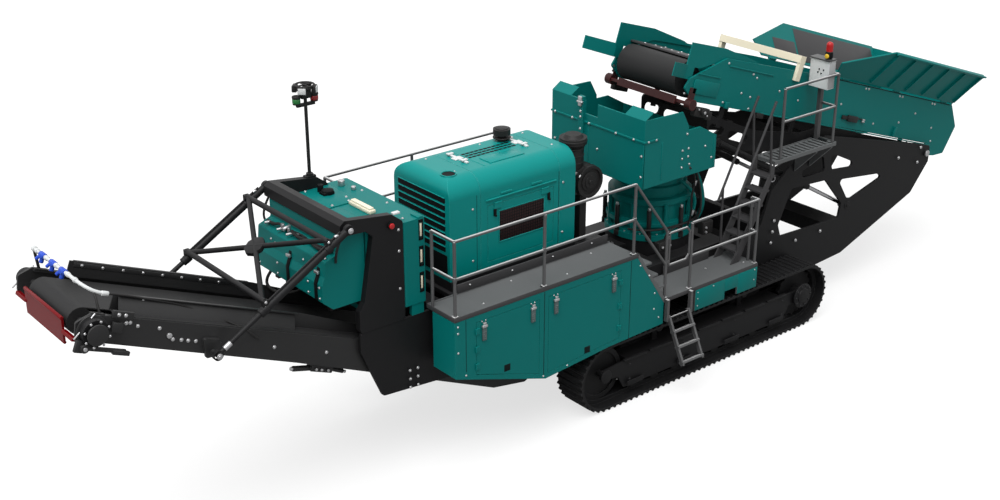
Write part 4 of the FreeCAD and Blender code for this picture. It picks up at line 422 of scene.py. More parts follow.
# Painted shade: a flat dark patch stands for the shaded inside of each finger recess.
recess = pressed_blocks((-3.985, outer - 0.003, 1.29, -3.885, outer + 0.003, 1.385, 0.002))
fit_piece(recess, "front_door_recess", recess_shade_and_seam_dark, "body_door_front")
recess = pressed_blocks((-2.595, outer - 0.003, 1.09, -2.495, outer + 0.003, 1.185, 0.002))
fit_piece(recess, "rear_door_recess", recess_shade_and_seam_dark, "body_door_rear")
small = [(-4.72, outer, 2.16), (-4.72, outer, 2.07), (-3.32, outer, 1.0), (-1.6, outer, 2.1),
    (-1.42, outer, 1.9), (-1.3, outer, 1.6), (-1.3, outer, 1.36), (-1.2, outer, 1.2), (-4.72, outer, 1.8),
    (-4.6, outer, 1.45), (-2.9, outer, 1.02)]
bolts = bolt_heads(small, near_way, 0.011, 0.009)
bolts += bolt_heads([(-0.42, outer, z) for z in (1.35, 1.25, 1.14)] + [(0.78, outer, 1.36), (0.78, outer, 1.2),
    (-0.1, outer, 1.36)], near_way, 0.011, 0.009)
bolts += bolt_heads([(x, 1.45, z) for x, low in ((-4.6, 1.75), (-3.6, 1.25), (-2.6, 1.2), (-1.7, 1.35))
    for z in (2.14, low)], far_way, 0.011, 0.009)
fit_piece(bolts, "side_body_bolts", silver)
seams = pressed_blocks((-1.776, outer - 0.0015, 1.05, -1.768, outer + 0.002, 2.225, 0.0),
    (-3.32, outer - 0.0015, 1.0, -3.312, outer + 0.002, 2.225, 0.0),
    (-4.6, outer - 0.0015, 1.5, -4.593, outer + 0.002, 2.225, 0.0))
seams += [pressed_block((x, 1.448, low), (x + 0.008, 1.4515, 2.225), 0.0)
    for x, low in ((-4.4, 1.5), (-3.3, 1.06), (-2.2, 1.15))]
fit_piece(seams, "side_body_seams", recess_shade_and_seam_dark)
apron = pressed_blocks((-0.468, outer - 0.0035, 1.072, 0.148, outer + 0.004, 1.394, 0.002),
    (0.422, outer - 0.0035, 1.072, 0.838, outer + 0.004, 1.394, 0.002),
    (0.14, outer - 0.0035, 1.192, 0.43, outer + 0.004, 1.394, 0.002))
fit_piece(apron, "step_apron", teal_paint)

# Decks. Grey chequered plate in a raised rim, dark kick plates along the
# inner edge, and the steps between both decks, bolted down on the side bodies.
deck_paint = machine_finish("grey_deck_plate", (0.105, 0.11, 0.112), (0.2, 0.2, 0.2), 0.6,
    cloud=0.1, shine=0.3, grain=0.35, grain_scale=60.0, edge_highlight_amount=0.35)
rim_grey = machine_finish("dark_rim_grey", (0.045, 0.044, 0.046), (0.1, 0.1, 0.1), 0.5, cloud=0.1,
    shine=0.25, grain=0.08)
wear_finish(deck_paint, "walkway_near", "walkway_far", "lower_deck", "platform")
wear_finish(rim_grey, "access_stair")
for side, name in ((-1.0, "near"), (1.0, "far")):
    face = side * 1.45
    rims = pressed_blocks(
        (-4.77, min(face, face + side * 0.004), 2.232, -1.65, max(face, face + side * 0.004), 2.294, 0.003),
        (-4.774, min(face, side * 0.88), 2.232, -4.762, max(face, side * 0.88), 2.294, 0.003),
        (-4.3, min(side * 0.885, side * 0.9), 2.288, -1.7, max(side * 0.885, side * 0.9), 2.41))
    if side < 0:
        rims += pressed_blocks((-1.1, face - 0.004, 1.395, 0.84, face, 1.455, 0.003),
            (0.838, face, 1.395, 0.844, -0.85, 1.455, 0.003), (-0.55, -0.88, 1.448, 0.4, -0.868, 1.6))
    fit_piece(rims, "deck_rims_" + name, rim_grey)
plates = [pressed_block((x, -1.2, 2.869), (x + 0.045, -0.93, 2.8745), 0.0015)
    for x in [1.4 + i * 0.1 for i in range(13)]]
fit_piece(plates, "platform_tread_bars", deck_paint)
bolts = bolt_heads([(x, -1.3 + 0.3 * (i % 2), 2.273)
    for i, x in enumerate((-4.2, -3.5, -2.8, -2.1))] + [(-4.1, -0.9, 2.36), (-3.4, -0.9, 2.36),
    (-2.7, -0.9, 2.36), (-2.0, -0.9, 2.36)], up_way, 0.012, 0.009)
bolts += bolt_heads([(-0.9, -1.1, 1.451), (0.1, -1.1, 1.451), (0.7, -1.3, 1.451)], up_way, 0.012, 0.009)
fit_piece(bolts, "deck_bolts", silver)

# Guard rails, ladders and gate. Galvanised tube with bent corners, welded to
# posts that stand in bolted flanges, joined by small clamps; the lower ladder
# is a folding one.
# Painted highlight: this dark tube is lightened almost to white along its top faces and edges, standing in for
# the sheen on the rails.
zinc = machine_finish("galvanised_tube", (0.085, 0.085, 0.087), (0.95, 0.95, 0.95), 0.38,
    metal=0.2, cloud=0.25, grain=0.12, edge_highlight_amount=0.15, top_sheen_and_dust=0.95)
wear_finish(zinc, "handrail_near", "handrail_far", "ladder_fixed", "ladder_fold", "gate", "platform_rails")
flanges = []
flange_bolts = []
for x, y, z in ((-4.735, -1.416, 2.29), (-3.3, -1.416, 2.29), (-1.71, -1.416, 2.29), (-4.735, 1.416, 2.29),
    (-3.3, 1.416, 2.29), (-1.71, 1.416, 2.29), (-1.07, -1.416, 1.45), (-0.58, -1.416, 1.45),
    (0.8, -1.416, 1.45)):
    flanges.append(pressed_block((x - 0.035, y - 0.031, z - 0.012), (x + 0.035, y + 0.04, z + 0.012)))
    flange_bolts += [(x - 0.024, y + 0.024, z + 0.012), (x + 0.024, y + 0.024, z + 0.012)]
for x, y, z in ((-3.3, -1.416, 2.79), (-3.3, -1.416, 3.25), (-1.71, -1.416, 2.79), (-4.735, -1.416, 2.79),
    (-3.3, 1.416, 2.79)):
    flanges.append(turned_rod((x, y, z - 0.03), (x, y, z + 0.03), 0.027, 14, 0.004))
fit_piece(flanges, "rail_flanges", zinc)
fit_piece(bolt_heads(flange_bolts, up_way, 0.007, 0.007), "rail_flange_bolts", silver)

# Engine hood. Green pressed sheet over the engine, with wide louvres in its
# front end, two white bracket bars over the vent slots, a filler hole with its
# ring, and bolts along the panel seams. The openings between the louvres, the
# vent slots and the filler hole are flat dark patches of painted shade.
# Near-black for black parts such as latches, straps, knobs and mesh wires, also used as painted shade in the
# hood's openings.
shade_and_black_paint = machine_finish("opening_shade_and_black", (0.0035, 0.0045, 0.005), (0.02, 0.02, 0.02), 0.6,
    cloud=0.2, shine=0.1)
# Painted shade: flat dark plates fill the louvre openings, the top vent slots and the filler hole.
vent_openings_shade = []
louvres = []
first, top_z, count = 2.7, 3.46, 8
pitch_z = (top_z - first) / count
for i in range(count):
    z = first + i * pitch_z
    vent_openings_shade.append(pressed_block((-4.1835, -0.5, z - 0.006), (-4.176, 0.5, z + pitch_z * 0.7), 0.0))
    louvres.append(pressed_block((-4.192, -0.505, z + pitch_z * 0.7), (-4.178, 0.505, z + pitch_z * 0.76),
        0.002))
vent_openings_shade.append(pressed_block((-4.1835, -0.54, 2.36), (-4.176, 0.54, 2.65), 0.0))
for row in range(3):
    y = -0.01 + row * 0.075
    for i in range(11):
        x = -3.4 + i * 0.074
        vent_openings_shade.append(pressed_block((x, y, 3.649), (x + 0.06, y + 0.04, 3.6525), 0.0))
vent_openings_shade.append(turned_rod((-3.96, -0.3, 3.648), (-3.96, -0.3, 3.653), 0.085, 28, 0.0))
fit_piece(vent_openings_shade, "hood_vents", shade_and_black_paint)
# Painted light: the hood's green is a brighter copy of the body's green paint, standing in for the light on its
# top and shoulder.
lit_hood_teal = machine_finish("hood_teal_lit_copy", (0.001, 0.222, 0.206), (0.06, 0.45, 0.42), 0.34,
    cloud=0.05, shine=0.16, grain=0.01, edge_highlight_amount=0.55)
wear_finish(lit_hood_teal, "engine_hood", "hood_door")
fit_piece(louvres, "hood_louvre_lips", lit_hood_teal)
hood_steel = pressed_blocks((-3.3, -0.33, 3.648, -2.72, -0.1, 3.662, 0.005))
bpy.ops.object.select_all(action="DESELECT")
bpy.ops.mesh.primitive_torus_add(major_segments=36, minor_segments=8, major_radius=0.1, minor_radius=0.009,
    location=(-3.96, -0.3, 3.652))
hood_steel.append(bpy.context.object)
hood_steel += pressed_blocks((-3.42, -0.345, 3.648, -3.4, 0.3, 3.654, 0.002))
fit_piece(hood_steel, "hood_top_panel", lit_hood_teal)
white_plate = machine_finish("white_bracket_paint", (0.62, 0.64, 0.64), (0.85, 0.85, 0.85), 0.35,
    cloud=0.05, shine=0.4, grain=0.03)
brackets = []
for x in (-3.53, -2.515):
    brackets += pressed_blocks((x - 0.02, -0.15, 3.649, x + 0.02, 0.3, 3.672),
        (x - 0.065, 0.03, 3.649, x + 0.075, 0.13, 3.664), (x - 0.045, -0.1, 3.67, x + 0.045, -0.05, 3.69),
        (x - 0.045, 0.2, 3.67, x + 0.045, 0.25, 3.69))
fit_piece(brackets, "hood_lift_brackets", white_plate)
seam_lines = [pressed_block((x, -0.6015, 2.34), (x + 0.006, -0.598, 3.395), 0.0) for x in (-3.745, -2.35)]
fit_piece(seam_lines, "hood_side_seams", recess_shade_and_seam_dark)
bolts = bolt_heads([(x, -0.6, z) for x in (-3.81, -2.27) for z in (2.5, 2.85, 3.22)], near_way, 0.013, 0.01)
bolts += bolt_heads([(x, 0.6, z) for x in (-3.8, -3.0, -2.2) for z in (2.5, 3.0)], far_way, 0.013, 0.01)
bolts += bolt_heads([(x, y, 3.65) for x in (-3.85, -2.95, -2.2) for y in (-0.28, 0.33)], up_way, 0.013, 0.01)
fit_piece(bolts, "hood_bolts", silver)

# Hood side door. Flat green door hung on its top edge, with a dark red mesh
# window in a pressed frame, two black turn latches and a raised drip rib.
mesh_red = machine_finish("dark_red_mesh", (0.016, 0.0025, 0.003), (0.06, 0.02, 0.02), 0.5,
    cloud=0.5, shine=0.3, grain=0.6, grain_scale=40.0)
pane = pressed_blocks((-3.37, -0.603, 2.66, -2.61, -0.586, 3.085, 0.002))
fit_piece(pane, "hood_window_mesh", mesh_red, "hood_door")
wires = [pressed_block((-3.36 + i * 0.04, -0.6055, 2.665), (-3.352 + i * 0.04, -0.602, 3.08), 0.0)
    for i in range(19)]
wires += [pressed_block((-3.365, -0.6055, 2.69 + i * 0.04), (-2.615, -0.602, 2.698 + i * 0.04), 0.0)
    for i in range(10)]
fit_piece(wires, "hood_window_wires", shade_and_black_paint, "hood_door")
frame_lips = pressed_blocks((-3.385, -0.608, 3.083, -2.595, -0.599, 3.098, 0.003),
    (-3.385, -0.608, 2.647, -2.595, -0.599, 2.662, 0.003), (-3.385, -0.608, 2.65, -3.37, -0.599, 3.095, 0.003),
    (-2.61, -0.608, 2.65, -2.595, -0.599, 3.095, 0.003))
fit_piece(frame_lips, "hood_window_frame", lit_hood_teal, "hood_door")
handles = []
for x in (-3.45, -2.53):
    handles += pressed_blocks((x - 0.02, -0.622, 3.04, x + 0.02, -0.599, 3.14, 0.006))
    handles += turned_rods((x, -0.615, 3.05, x, -0.64, 3.05, 0.014, 12, 0.004))
fit_piece(handles, "hood_door_latches", shade_and_black_paint, "hood_door")
rib = pressed_blocks((-3.6, -0.622, 3.275, -2.4, -0.598, 3.295, 0.005),
    (-3.35, -0.612, 3.315, -3.17, -0.598, 3.345, 0.005), (-2.83, -0.612, 3.315, -2.65, -0.598, 3.345, 0.005))
fit_piece(rib, "hood_drip_rib", lit_hood_teal)

rubber_black = machine_finish("moulded_rubber_black", (0.013, 0.0125, 0.0125),
    (0.05, 0.048, 0.048), 0.5, cloud=0.2, shine=0.25, grain=0.1)

# Air cleaner and exhaust. Black moulded stack with a ribbed rain cap, a round
# canister with its clamp band, and the exhaust's cap on the hood's top.
wear_finish(rubber_black, "air_cleaner", "exhaust")
bands = []
for z in (3.24, 3.34, 3.44, 3.54):
    bands.append(turned_rod((-1.86, -0.33, z), (-1.86, -0.33, z + 0.022), 0.157, 28, 0.006))
bands.append(turned_rod((-1.86, -0.33, 3.64), (-1.86, -0.33, 3.675), 0.196, 32, 0.01))
bands += [turned_rod((-1.73, y, 3.08), (-1.73, y + 0.022, 3.08), 0.237, 32, 0.006) for y in (-0.5, -0.4, -0.3)]
bands += turned_rods((-1.73, -0.535, 3.08, -1.73, -0.548, 3.08, 0.14, 24, 0.004),
    (-1.73, -0.5, 3.08, -1.73, -0.575, 3.08, 0.035, 14, 0.006))
bands += turned_rods((-2.61, 0.28, 3.69, -2.61, 0.28, 3.705, 0.125, 28, 0.004),
    (-2.61, 0.28, 3.815, -2.61, 0.28, 3.83, 0.09, 24, 0.006))
fit_piece(bands, "air_cleaner_bands", rubber_black)
clamps = pressed_blocks((-1.96, -0.5, 3.21, -1.92, -0.44, 3.25, 0.005))
clamps += turned_rods((-1.96, -0.57, 3.2, -1.93, -0.57, 3.23, 0.012, 10))
fit_piece(clamps, "air_cleaner_clamps", silver)

# Gantry, tank and cooler cabinet. The black portal carries plated pin heads
# and a red stop button; the green tank has straps, a bolted hatch and hoses
# along its ledge, and the cabinet a cream light bar and slotted corners.
pins = []
for side in (-1.0, 1.0):
    pins += turned_rods((-5.9, side * 0.966, 3.6, -5.9, side * 0.984, 3.6, 0.036, 18, 0.006),
        (-5.9, side * 0.984, 3.6, -5.9, side * 0.99, 3.6, 0.018, 12))
    pins += bolt_heads([(-5.15, side * 0.862, 3.38), (-5.15, side * 0.862, 3.1), (-5.15, side * 0.862, 2.6)],
        (0.0, side, 0.0), 0.014, 0.01)
pins += bolt_heads([(-5.15, 0.26, 3.466), (-5.2, 0.13, 3.466), (-4.85, -0.2, 3.451), (-4.85, 0.35, 3.451),
    (-5.45, 0.12, 3.466), (-5.45, 0.74, 3.466), (-5.0, -0.74, 3.451)], up_way, 0.014, 0.011)
pins += bolt_heads([(-6.1, y, 3.215) for y in (-0.7, -0.66)] + [(-5.7, -0.5, 3.501), (-5.7, 0.5, 3.501)],
    up_way, 0.014, 0.011)
pins += bolt_heads([(-6.2, y, z) for y in (-0.7, -0.45, 0.25, 0.68)
    for z in (2.72, 2.86)] + [(-6.155, 0.35, 3.08), (-6.15, 0.45, 3.1), (-6.155, -0.3, 3.08)], front_way, 0.013,
    0.01)
pins += turned_rods((-4.96, 0.66, 3.45, -4.96, 0.66, 3.53, 0.045, 18, 0.01),
    (-4.92, 0.44, 3.45, -4.92, 0.44, 3.5, 0.032, 16, 0.008))
fit_piece(pins, "gantry_pins_and_bolts", silver)


def laid_strip(points, y0, y1, thick):
    """Flat strip folded over an edge, run by run."""
    runs = []
    for (xa, za), (xb, zb) in zip(points, points[1:]):
        run = pressed_block((-math.hypot(xb - xa, zb - za) / 2.0 - thick * 0.3, y0, -thick / 2.0),
            (math.hypot(xb - xa, zb - za) / 2.0 + thick * 0.3, y1, thick / 2.0), thick * 0.2)
        run.rotation_euler = (0.0, -math.atan2(zb - za, xb - xa), 0.0)
        run.location = ((xa + xb) / 2.0, 0.0, (za + zb) / 2.0)
        settle()
        runs.append(run)
    return runs


straps = []
for y in (0.0, -0.63):
    straps += laid_strip([(-6.12, 3.2), (-6.165, 3.0), (-6.205, 2.9), (-6.205, 2.69)], y - 0.032, y + 0.032,
        0.012)
fit_piece(straps, "tank_straps", shade_and_black_paint)
buckles = [pressed_block((-6.2, y - 0.042, 3.02), (-6.165, y + 0.042, 3.06), 0.008) for y in (0.0, -0.63)]
buckles += [turned_rod((-6.13, y, 3.258), (-6.05, y - 0.03, 3.262), 0.017, 12, 0.004)
    for y in (0.62, 0.33, 0.12, -0.62)]
buckles += turned_rods((-6.06, 0.3, 3.24, -6.06, 0.3, 3.33, 0.024, 12, 0.005),
    (-6.06, 0.16, 3.25, -6.06, 0.16, 3.32, 0.02, 12, 0.005),
    (-6.1, 0.23, 3.28, -6.0, 0.23, 3.3, 0.028, 14, 0.006),
    (-6.04, 0.06, 3.26, -6.04, -0.02, 3.27, 0.02, 12, 0.004))
fit_piece(buckles, "tank_hose_fittings", silver)
hoses = [bent_pipe([(-6.06, 0.66, 3.255), (-6.08, 0.5, 3.262), (-6.03, 0.4, 3.29), (-6.06, 0.3, 3.27),
    (-6.06, 0.2, 3.28)], 0.02),
    bent_pipe([(-6.04, 0.12, 3.28), (-6.08, -0.05, 3.262), (-6.02, -0.25, 3.275), (-6.06, -0.45, 3.255),
    (-6.03, -0.62, 3.265), (-6.0, -0.72, 3.3)], 0.022),
    bent_pipe([(-6.02, 0.1, 3.27), (-6.0, -0.1, 3.275), (-6.05, -0.3, 3.258), (-6.0, -0.5, 3.275),
    (-6.0, -0.7, 3.27)], 0.016),
    bent_pipe([(-6.13, 0.55, 2.62), (-6.2, 0.6, 2.5), (-6.17, 0.5, 2.38), (-6.05, 0.35, 2.36),
    (-5.95, 0.2, 2.42), (-5.92, 0.12, 2.5), (-5.92, 0.08, 2.58)], 0.02),
    bent_pipe([(-5.93, -0.82, 3.5), (-6.0, -0.83, 3.38), (-6.03, -0.82, 3.24), (-6.0, -0.78, 3.16),
    (-5.98, -0.73, 3.14)], 0.016),
    bent_pipe([(-5.93, 0.82, 3.5), (-6.0, 0.83, 3.38), (-6.03, 0.82, 3.24), (-6.0, 0.78, 3.16),
    (-5.98, 0.73, 3.14)], 0.016)]
fit_piece(hoses, "tank_hoses", rubber_black)
hatch = pressed_blocks((-5.53, 0.08, 3.448, -5.08, 0.8, 3.466, 0.006), (-5.53, -0.72, 3.448, -5.4, 0.05, 3.46),
    (-4.86, -0.86, 3.448, -4.78, -0.7, 3.47, 0.006))
fit_piece(hatch, "cabinet_hatch", teal_paint)
cream_paint = machine_finish("cream_lens", (0.78, 0.72, 0.55), (0.9, 0.88, 0.8), 0.3, cloud=0.04)
bars = pressed_blocks((-5.25, -0.4, 3.449, -5.15, 0.06, 3.5, 0.014),
    (-5.235, -0.38, 3.495, -5.165, 0.04, 3.525, 0.012))
fit_piece(bars, "cabinet_light_bar", cream_paint)
strips = []
frames = []
for side in (-1.0, 1.0):
    for z in (2.48, 2.83, 3.18):
        a, b = sorted((side * 0.852, side * 0.862))
        strips.append(pressed_block((-4.835, a, z + 0.03), (-4.805, b, z + 0.2), 0.003))
        for x0, x1, z0, z1 in ((-4.853, -4.837, z - 0.02, z + 0.25), (-4.803, -4.787, z - 0.02, z + 0.25),
            (-4.853, -4.787, z - 0.02, z + 0.012), (-4.853, -4.787, z + 0.218, z + 0.25)):
            frames.append(pressed_block((x0, min(side * 0.852, side * 0.866), z0),
                (x1, max(side * 0.852, side * 0.866), z1), 0.002))
fit_piece(strips, "cabinet_slot_strips", cream_paint)
frames += turned_rods((-5.27, 0.5, 3.45, -5.27, 0.5, 3.52, 0.08, 20, 0.01))
frames += pressed_blocks((-5.36, 0.44, 3.46, -5.2, 0.56, 3.5, 0.008))
frames += turned_rods((-5.3, 0.62, 3.45, -5.3, 0.62, 3.56, 0.04, 16, 0.008),
    (-5.27, -0.855, 3.47, -5.27, -0.885, 3.47, 0.045, 18, 0.005))
fit_piece(frames, "cabinet_black_fittings", shade_and_black_paint)
signal_red = machine_finish("signal_red", (0.42, 0.006, 0.008), (0.7, 0.1, 0.1), 0.3, cloud=0.08,
    grain=0.01)
fit_piece(turned_rods((-5.27, -0.885, 3.47, -5.27, -0.915, 3.47, 0.036, 18, 0.01)), "gantry_stop_button",
    signal_red)
fit_piece(pressed_blocks((-5.2, -0.84, 3.57, -5.1, -0.78, 3.6, 0.008)), "gantry_cap", white_plate)

# Light mast. Black pole with a ring guard and four white lamps on top, and
# two signal lamps, one green and one red, under small black caps.
wear_finish(rubber_black, "light_mast")
for x, name, slot, tone_a, tone_b in ((-5.46, "green", "painted_green", (0.01, 0.16, 0.03), (0.1, 0.4, 0.15)),
    (-5.2, "red", "red_paint", (0.3, 0.006, 0.008), (0.6, 0.1, 0.1))):
    glass = machine_finish("lamp_" + name, tone_a, tone_b, 0.2, cloud=0.1, shine=0.6, grain=0.01)
    fit_piece(turned_rods((x, 0.8125, 4.615, x, 0.8125, 4.675, 0.052, 20, 0.008)), "mast_lamp_" + name, glass)
caps = [turned_rod((x, 0.8125, 4.675), (x, 0.8125, 4.712), 0.055, 20, 0.01) for x in (-5.46, -5.2)]
caps += turned_rods((-5.33, 0.6925, 4.83, -5.33, 0.9325, 4.83, 0.009, 10, 0.002))
caps += pressed_blocks((-5.4, 0.77, 4.66, -5.26, 0.855, 4.78, 0.01))
lamp_faces = []
for i in range(4):
    a = math.radians(45.0 + 90.0 * i)
    centre = Vector((-5.33, 0.8125, 4.785))
    for near, far, half, group in ((0.095, 0.15, 0.055, caps), (0.15, 0.158, 0.048, lamp_faces)):
        lamp = pressed_block((near, -half, -half * 0.8), (far, half, half * 0.8), 0.003)
        lamp.rotation_euler = (0.0, 0.0, a)
        lamp.location = centre
        settle()
        group.append(lamp)
fit_piece(caps, "mast_caps", rubber_black)
fit_piece(lamp_faces, "mast_lamp_faces", white_plate)

# Struts. Two long black cylinders with plated rod ends, braced by tubes that
# meet in a welded hub, with bolted lugs and a hose along each barrel; their
# lower pins turn in lugs on the conveyor's bolted side plates.
chrome = machine_finish("polished_chrome", (0.6, 0.6, 0.62), (0.8, 0.8, 0.8), 0.14, metal=1.0,
    cloud=0.05, grain=0.0)
wear_finish(chrome, "lift_rods")
wear_finish(black_paint, "strut_rods")
axis = Vector((-0.866, 0.0, -0.5))
across = Vector((-0.5, 0.0, 0.866))
hub_at = Vector((-6.625, 0.0, 3.276))
hub = [turned_rod(hub_at - across * 0.03, hub_at + across * 0.03, 0.14, 8, 0.006)]
start = Vector((-5.9, 0.0, 3.6))
barrel_y = 0.925
lug_steps = (0.335, 1.34)
for side in (-1.0, 1.0):
    top_pin = start + Vector((0.0, side * barrel_y, 0.0))
    for step in lug_steps:
        lug = top_pin + axis * step
        hub += [turned_rod(lug - axis * 0.035, lug + axis * 0.035, 0.056, 18, 0.005)]
    hub += [turned_rod(top_pin + axis * 1.36, top_pin + axis * 1.42, 0.053, 18, 0.006)]
    line = [top_pin + axis * d + across * 0.062 for d in (0.1, 0.25, 0.5, 0.75, 1.0, 1.2, 1.3)]
    hub.append(bent_pipe([tuple(v) for v in line], 0.011))
fit_piece(hub, "strut_hub_and_hoses", black_paint, "strut_barrels")
bolts = []
for side in (-1.0, 1.0):
    top_pin = start + Vector((0.0, side * barrel_y, 0.0))
    for step in lug_steps:
        lug = top_pin + axis * step + Vector((0.0, side * 0.025, 0.095))
        bolts += bolt_heads([tuple(lug), tuple(lug + Vector((0.0, 0.0, -0.06)))], (0.0, side, 0.0), 0.014,
            0.011)
    bolts.append(turned_rod(top_pin + axis * 0.14 + across * 0.05, top_pin + axis * 0.19 + across * 0.062,
        0.018, 12, 0.004))
fit_piece(bolts, "strut_bolts", silver, "strut_barrels")
collars = []
for side in (-1.0, 1.0):
    foot = Vector((-7.7, side * barrel_y, 2.56))
    collars.append(turned_rod(foot - axis * 0.1, foot - axis * 0.2, 0.034, 18, 0.005))
fit_piece(collars, "strut_rod_ends", silver, "strut_rods")
eyes = []
for side in (-1.0, 1.0):
    eyes += turned_rods((-7.7, side * 0.967, 2.56, -7.7, side * 0.983, 2.56, 0.036, 18, 0.006),
        (-7.7, side * 0.983, 2.56, -7.7, side * 0.989, 2.56, 0.018, 12))
eyes += bolt_heads([(x, -0.784, z) for x, z in ((-8.66, 3.21), (-8.29, 3.03), (-8.15, 2.85), (-8.05, 2.81),
    (-7.97, 2.775), (-7.88, 2.74), (-7.6, 2.63), (-6.9, 2.34), (-6.2, 2.04))], near_way, 0.017, 0.013)
eyes += bolt_heads([(x, 0.784, z) for x, z in ((-8.66, 3.21), (-8.29, 3.03), (-8.05, 2.81), (-7.6, 2.63),
    (-6.9, 2.34), (-6.2, 2.04))], far_way, 0.017, 0.013)
eyes.append(turned_rod((-8.19, -0.78, 2.91), (-8.19, -0.805, 2.91), 0.032, 18, 0.005))
fit_piece(eyes, "conveyor_pins_and_bolts", silver, "conveyor")

# Product conveyor. Rubber belt between black channels, with rubber skirts
# clamped by a strip and bolts, a gearbox with its round cover, and brackets
# that carry the plough.
conveyor_black = machine_finish("conveyor_black", (0.019, 0.019, 0.0195), (0.06, 0.06, 0.06),
    0.42, cloud=0.1, shine=0.3, top_sheen_and_dust=0.3)
wear_finish(conveyor_black, "conveyor_frame", "conveyor_skirts")
belt_rubber = machine_finish("belt_rubber", (0.014, 0.014, 0.0145), (0.03, 0.03, 0.03), 0.62,
    cloud=0.3, shine=0.25, grain=0.2, grain_scale=140.0, top_sheen_and_dust=0.5)
wear_finish(belt_rubber, "tail_belt", "conveyor_belt", "feeder_belt")
on_conveyor = (-2.9, 0.0, 0.8), 22.5
clamp_strips = []
for side in (-1.0, 1.0):
    a, b = sorted((side * 0.548, side * 0.556))
    clamp_strips.append(pressed_block((-6.3, a, 0.2), (-3.95, b, 0.255), 0.003))
    c, d = sorted((side * 0.56, side * 0.6))
    clamp_strips.append(pressed_block((-6.3, c, 0.262), (-3.95, d, 0.272), 0.003))
fit_piece(clamp_strips, "skirt_clamp_strips", conveyor_black, "conveyor", *on_conveyor)
outer_skirts = []
for side in (-1.0, 1.0):
    lean = math.atan2(0.16, 0.1)
    plate = pressed_block((-6.3, 0.0, -0.003), (-3.98, 0.19, 0.003), 0.002)
    plate.rotation_euler = (-lean, 0.0, 0.0)
    plate.location = (0.0, 0.57, 0.245)
    settle()
    if side < 0:
        plate.rotation_euler = (0.0, 0.0, math.pi)
        plate.location = (-10.28, 0.0, 0.0)
        settle()
    outer_skirts.append(plate)
skirt_grey = machine_finish("skirt_rubber", (0.024, 0.024, 0.0245), (0.05, 0.05, 0.05), 0.5,
    cloud=0.25, shine=0.3, grain=0.1, top_sheen_and_dust=0.4)
fit_piece(outer_skirts, "outer_skirts", skirt_grey, "conveyor", *on_conveyor)
clips = bolt_heads([(-6.2 + i * 0.26, 0.547, 0.228) for i in range(9)], near_way, 0.014, 0.012)
clips += bolt_heads([(-6.2 + i * 0.26, -0.547, 0.228) for i in range(9)], far_way, 0.014, 0.012)
clips += bolt_heads([(-5.3, -0.567, 0.2), (-5.3, -0.567, 0.14), (-6.0, -0.567, 0.23), (-4.5, -0.567, 0.2)],
    near_way, 0.016, 0.014)
fit_piece(clips, "skirt_bolts", silver, "conveyor", *on_conveyor)
gear = turned_rods((-6.62, -0.93, -0.09, -6.62, -0.955, -0.09, 0.12, 26, 0.01),
    (-6.62, -0.78, -0.09, -6.62, -0.8, -0.09, 0.175, 28, 0.008))
gear += pressed_blocks((-6.7, -0.86, -0.3, -6.2, -0.83, -0.25, 0.006),
    (-6.35, -0.87, -0.32, -6.15, -0.82, -0.27, 0.008), (-6.78, -0.84, -0.34, -6.68, -0.79, -0.2, 0.01),
    (-6.45, -0.83, 0.08, -6.2, -0.79, 0.16, 0.008), (-6.42, -0.84, -0.08, -6.3, -0.79, 0.03, 0.008))
gear += turned_rods((-6.68, -0.84, -0.28, -6.68, -0.87, -0.28, 0.05, 16, 0.006))
gear += pressed_blocks((-6.7, 0.83, -0.3, -6.2, 0.86, -0.25, 0.006))
gear += turned_rods((-6.62, 0.95, -0.09, -6.62, 0.965, -0.09, 0.09, 22, 0.008))
gear += pressed_blocks((-3.62, -0.72, -0.4, -3.3, -0.6, -0.31, 0.01))
gear += turned_rods((-3.85, -0.66, -0.4, -3.6, -0.66, -0.37, 0.035, 14, 0.006),
    (-3.32, -0.66, -0.36, -3.1, -0.66, -0.38, 0.028, 14, 0.006))
fit_piece(gear, "conveyor_head_fittings", conveyor_black, "conveyor", *on_conveyor)
shine = bolt_heads([(-6.62 + 0.145 * math.cos(a), -0.932, -0.09 + 0.145 * math.sin(a))
    for a in [i * math.pi / 4.0 for i in range(8)]], near_way, 0.011, 0.01)
shine += bolt_heads([(-6.3, -0.831, 0.12), (-6.38, -0.831, 0.12), (-6.1, -0.784, 0.0), (-6.2, -0.784, 0.03)],
    near_way, 0.016, 0.014)
shine += pressed_blocks((-6.36, -0.8, -0.05, -6.28, -0.787, 0.02, 0.006))
shine += turned_rods((-6.68, -0.87, -0.28, -6.68, -0.885, -0.28, 0.024, 14, 0.005),
    (-6.64, -0.8, 0.1, -6.81, -0.82, -0.2, 0.009, 8, 0.002),
    (-6.64, 0.8, 0.1, -6.81, 0.82, -0.2, 0.009, 8, 0.002))
shine += [turned_rod((x, -0.725, -0.36), (x, -0.75, -0.36), 0.018, 12, 0.004) for x in (-3.56, -3.48, -3.38)]
shine += turned_rods((-3.88, -0.66, -0.403, -3.85, -0.66, -0.4, 0.026, 14, 0.005),
    (-3.1, -0.66, -0.38, -3.06, -0.66, -0.383, 0.02, 12, 0.004))
fit_piece(shine, "conveyor_head_bolts", silver, "conveyor", *on_conveyor)

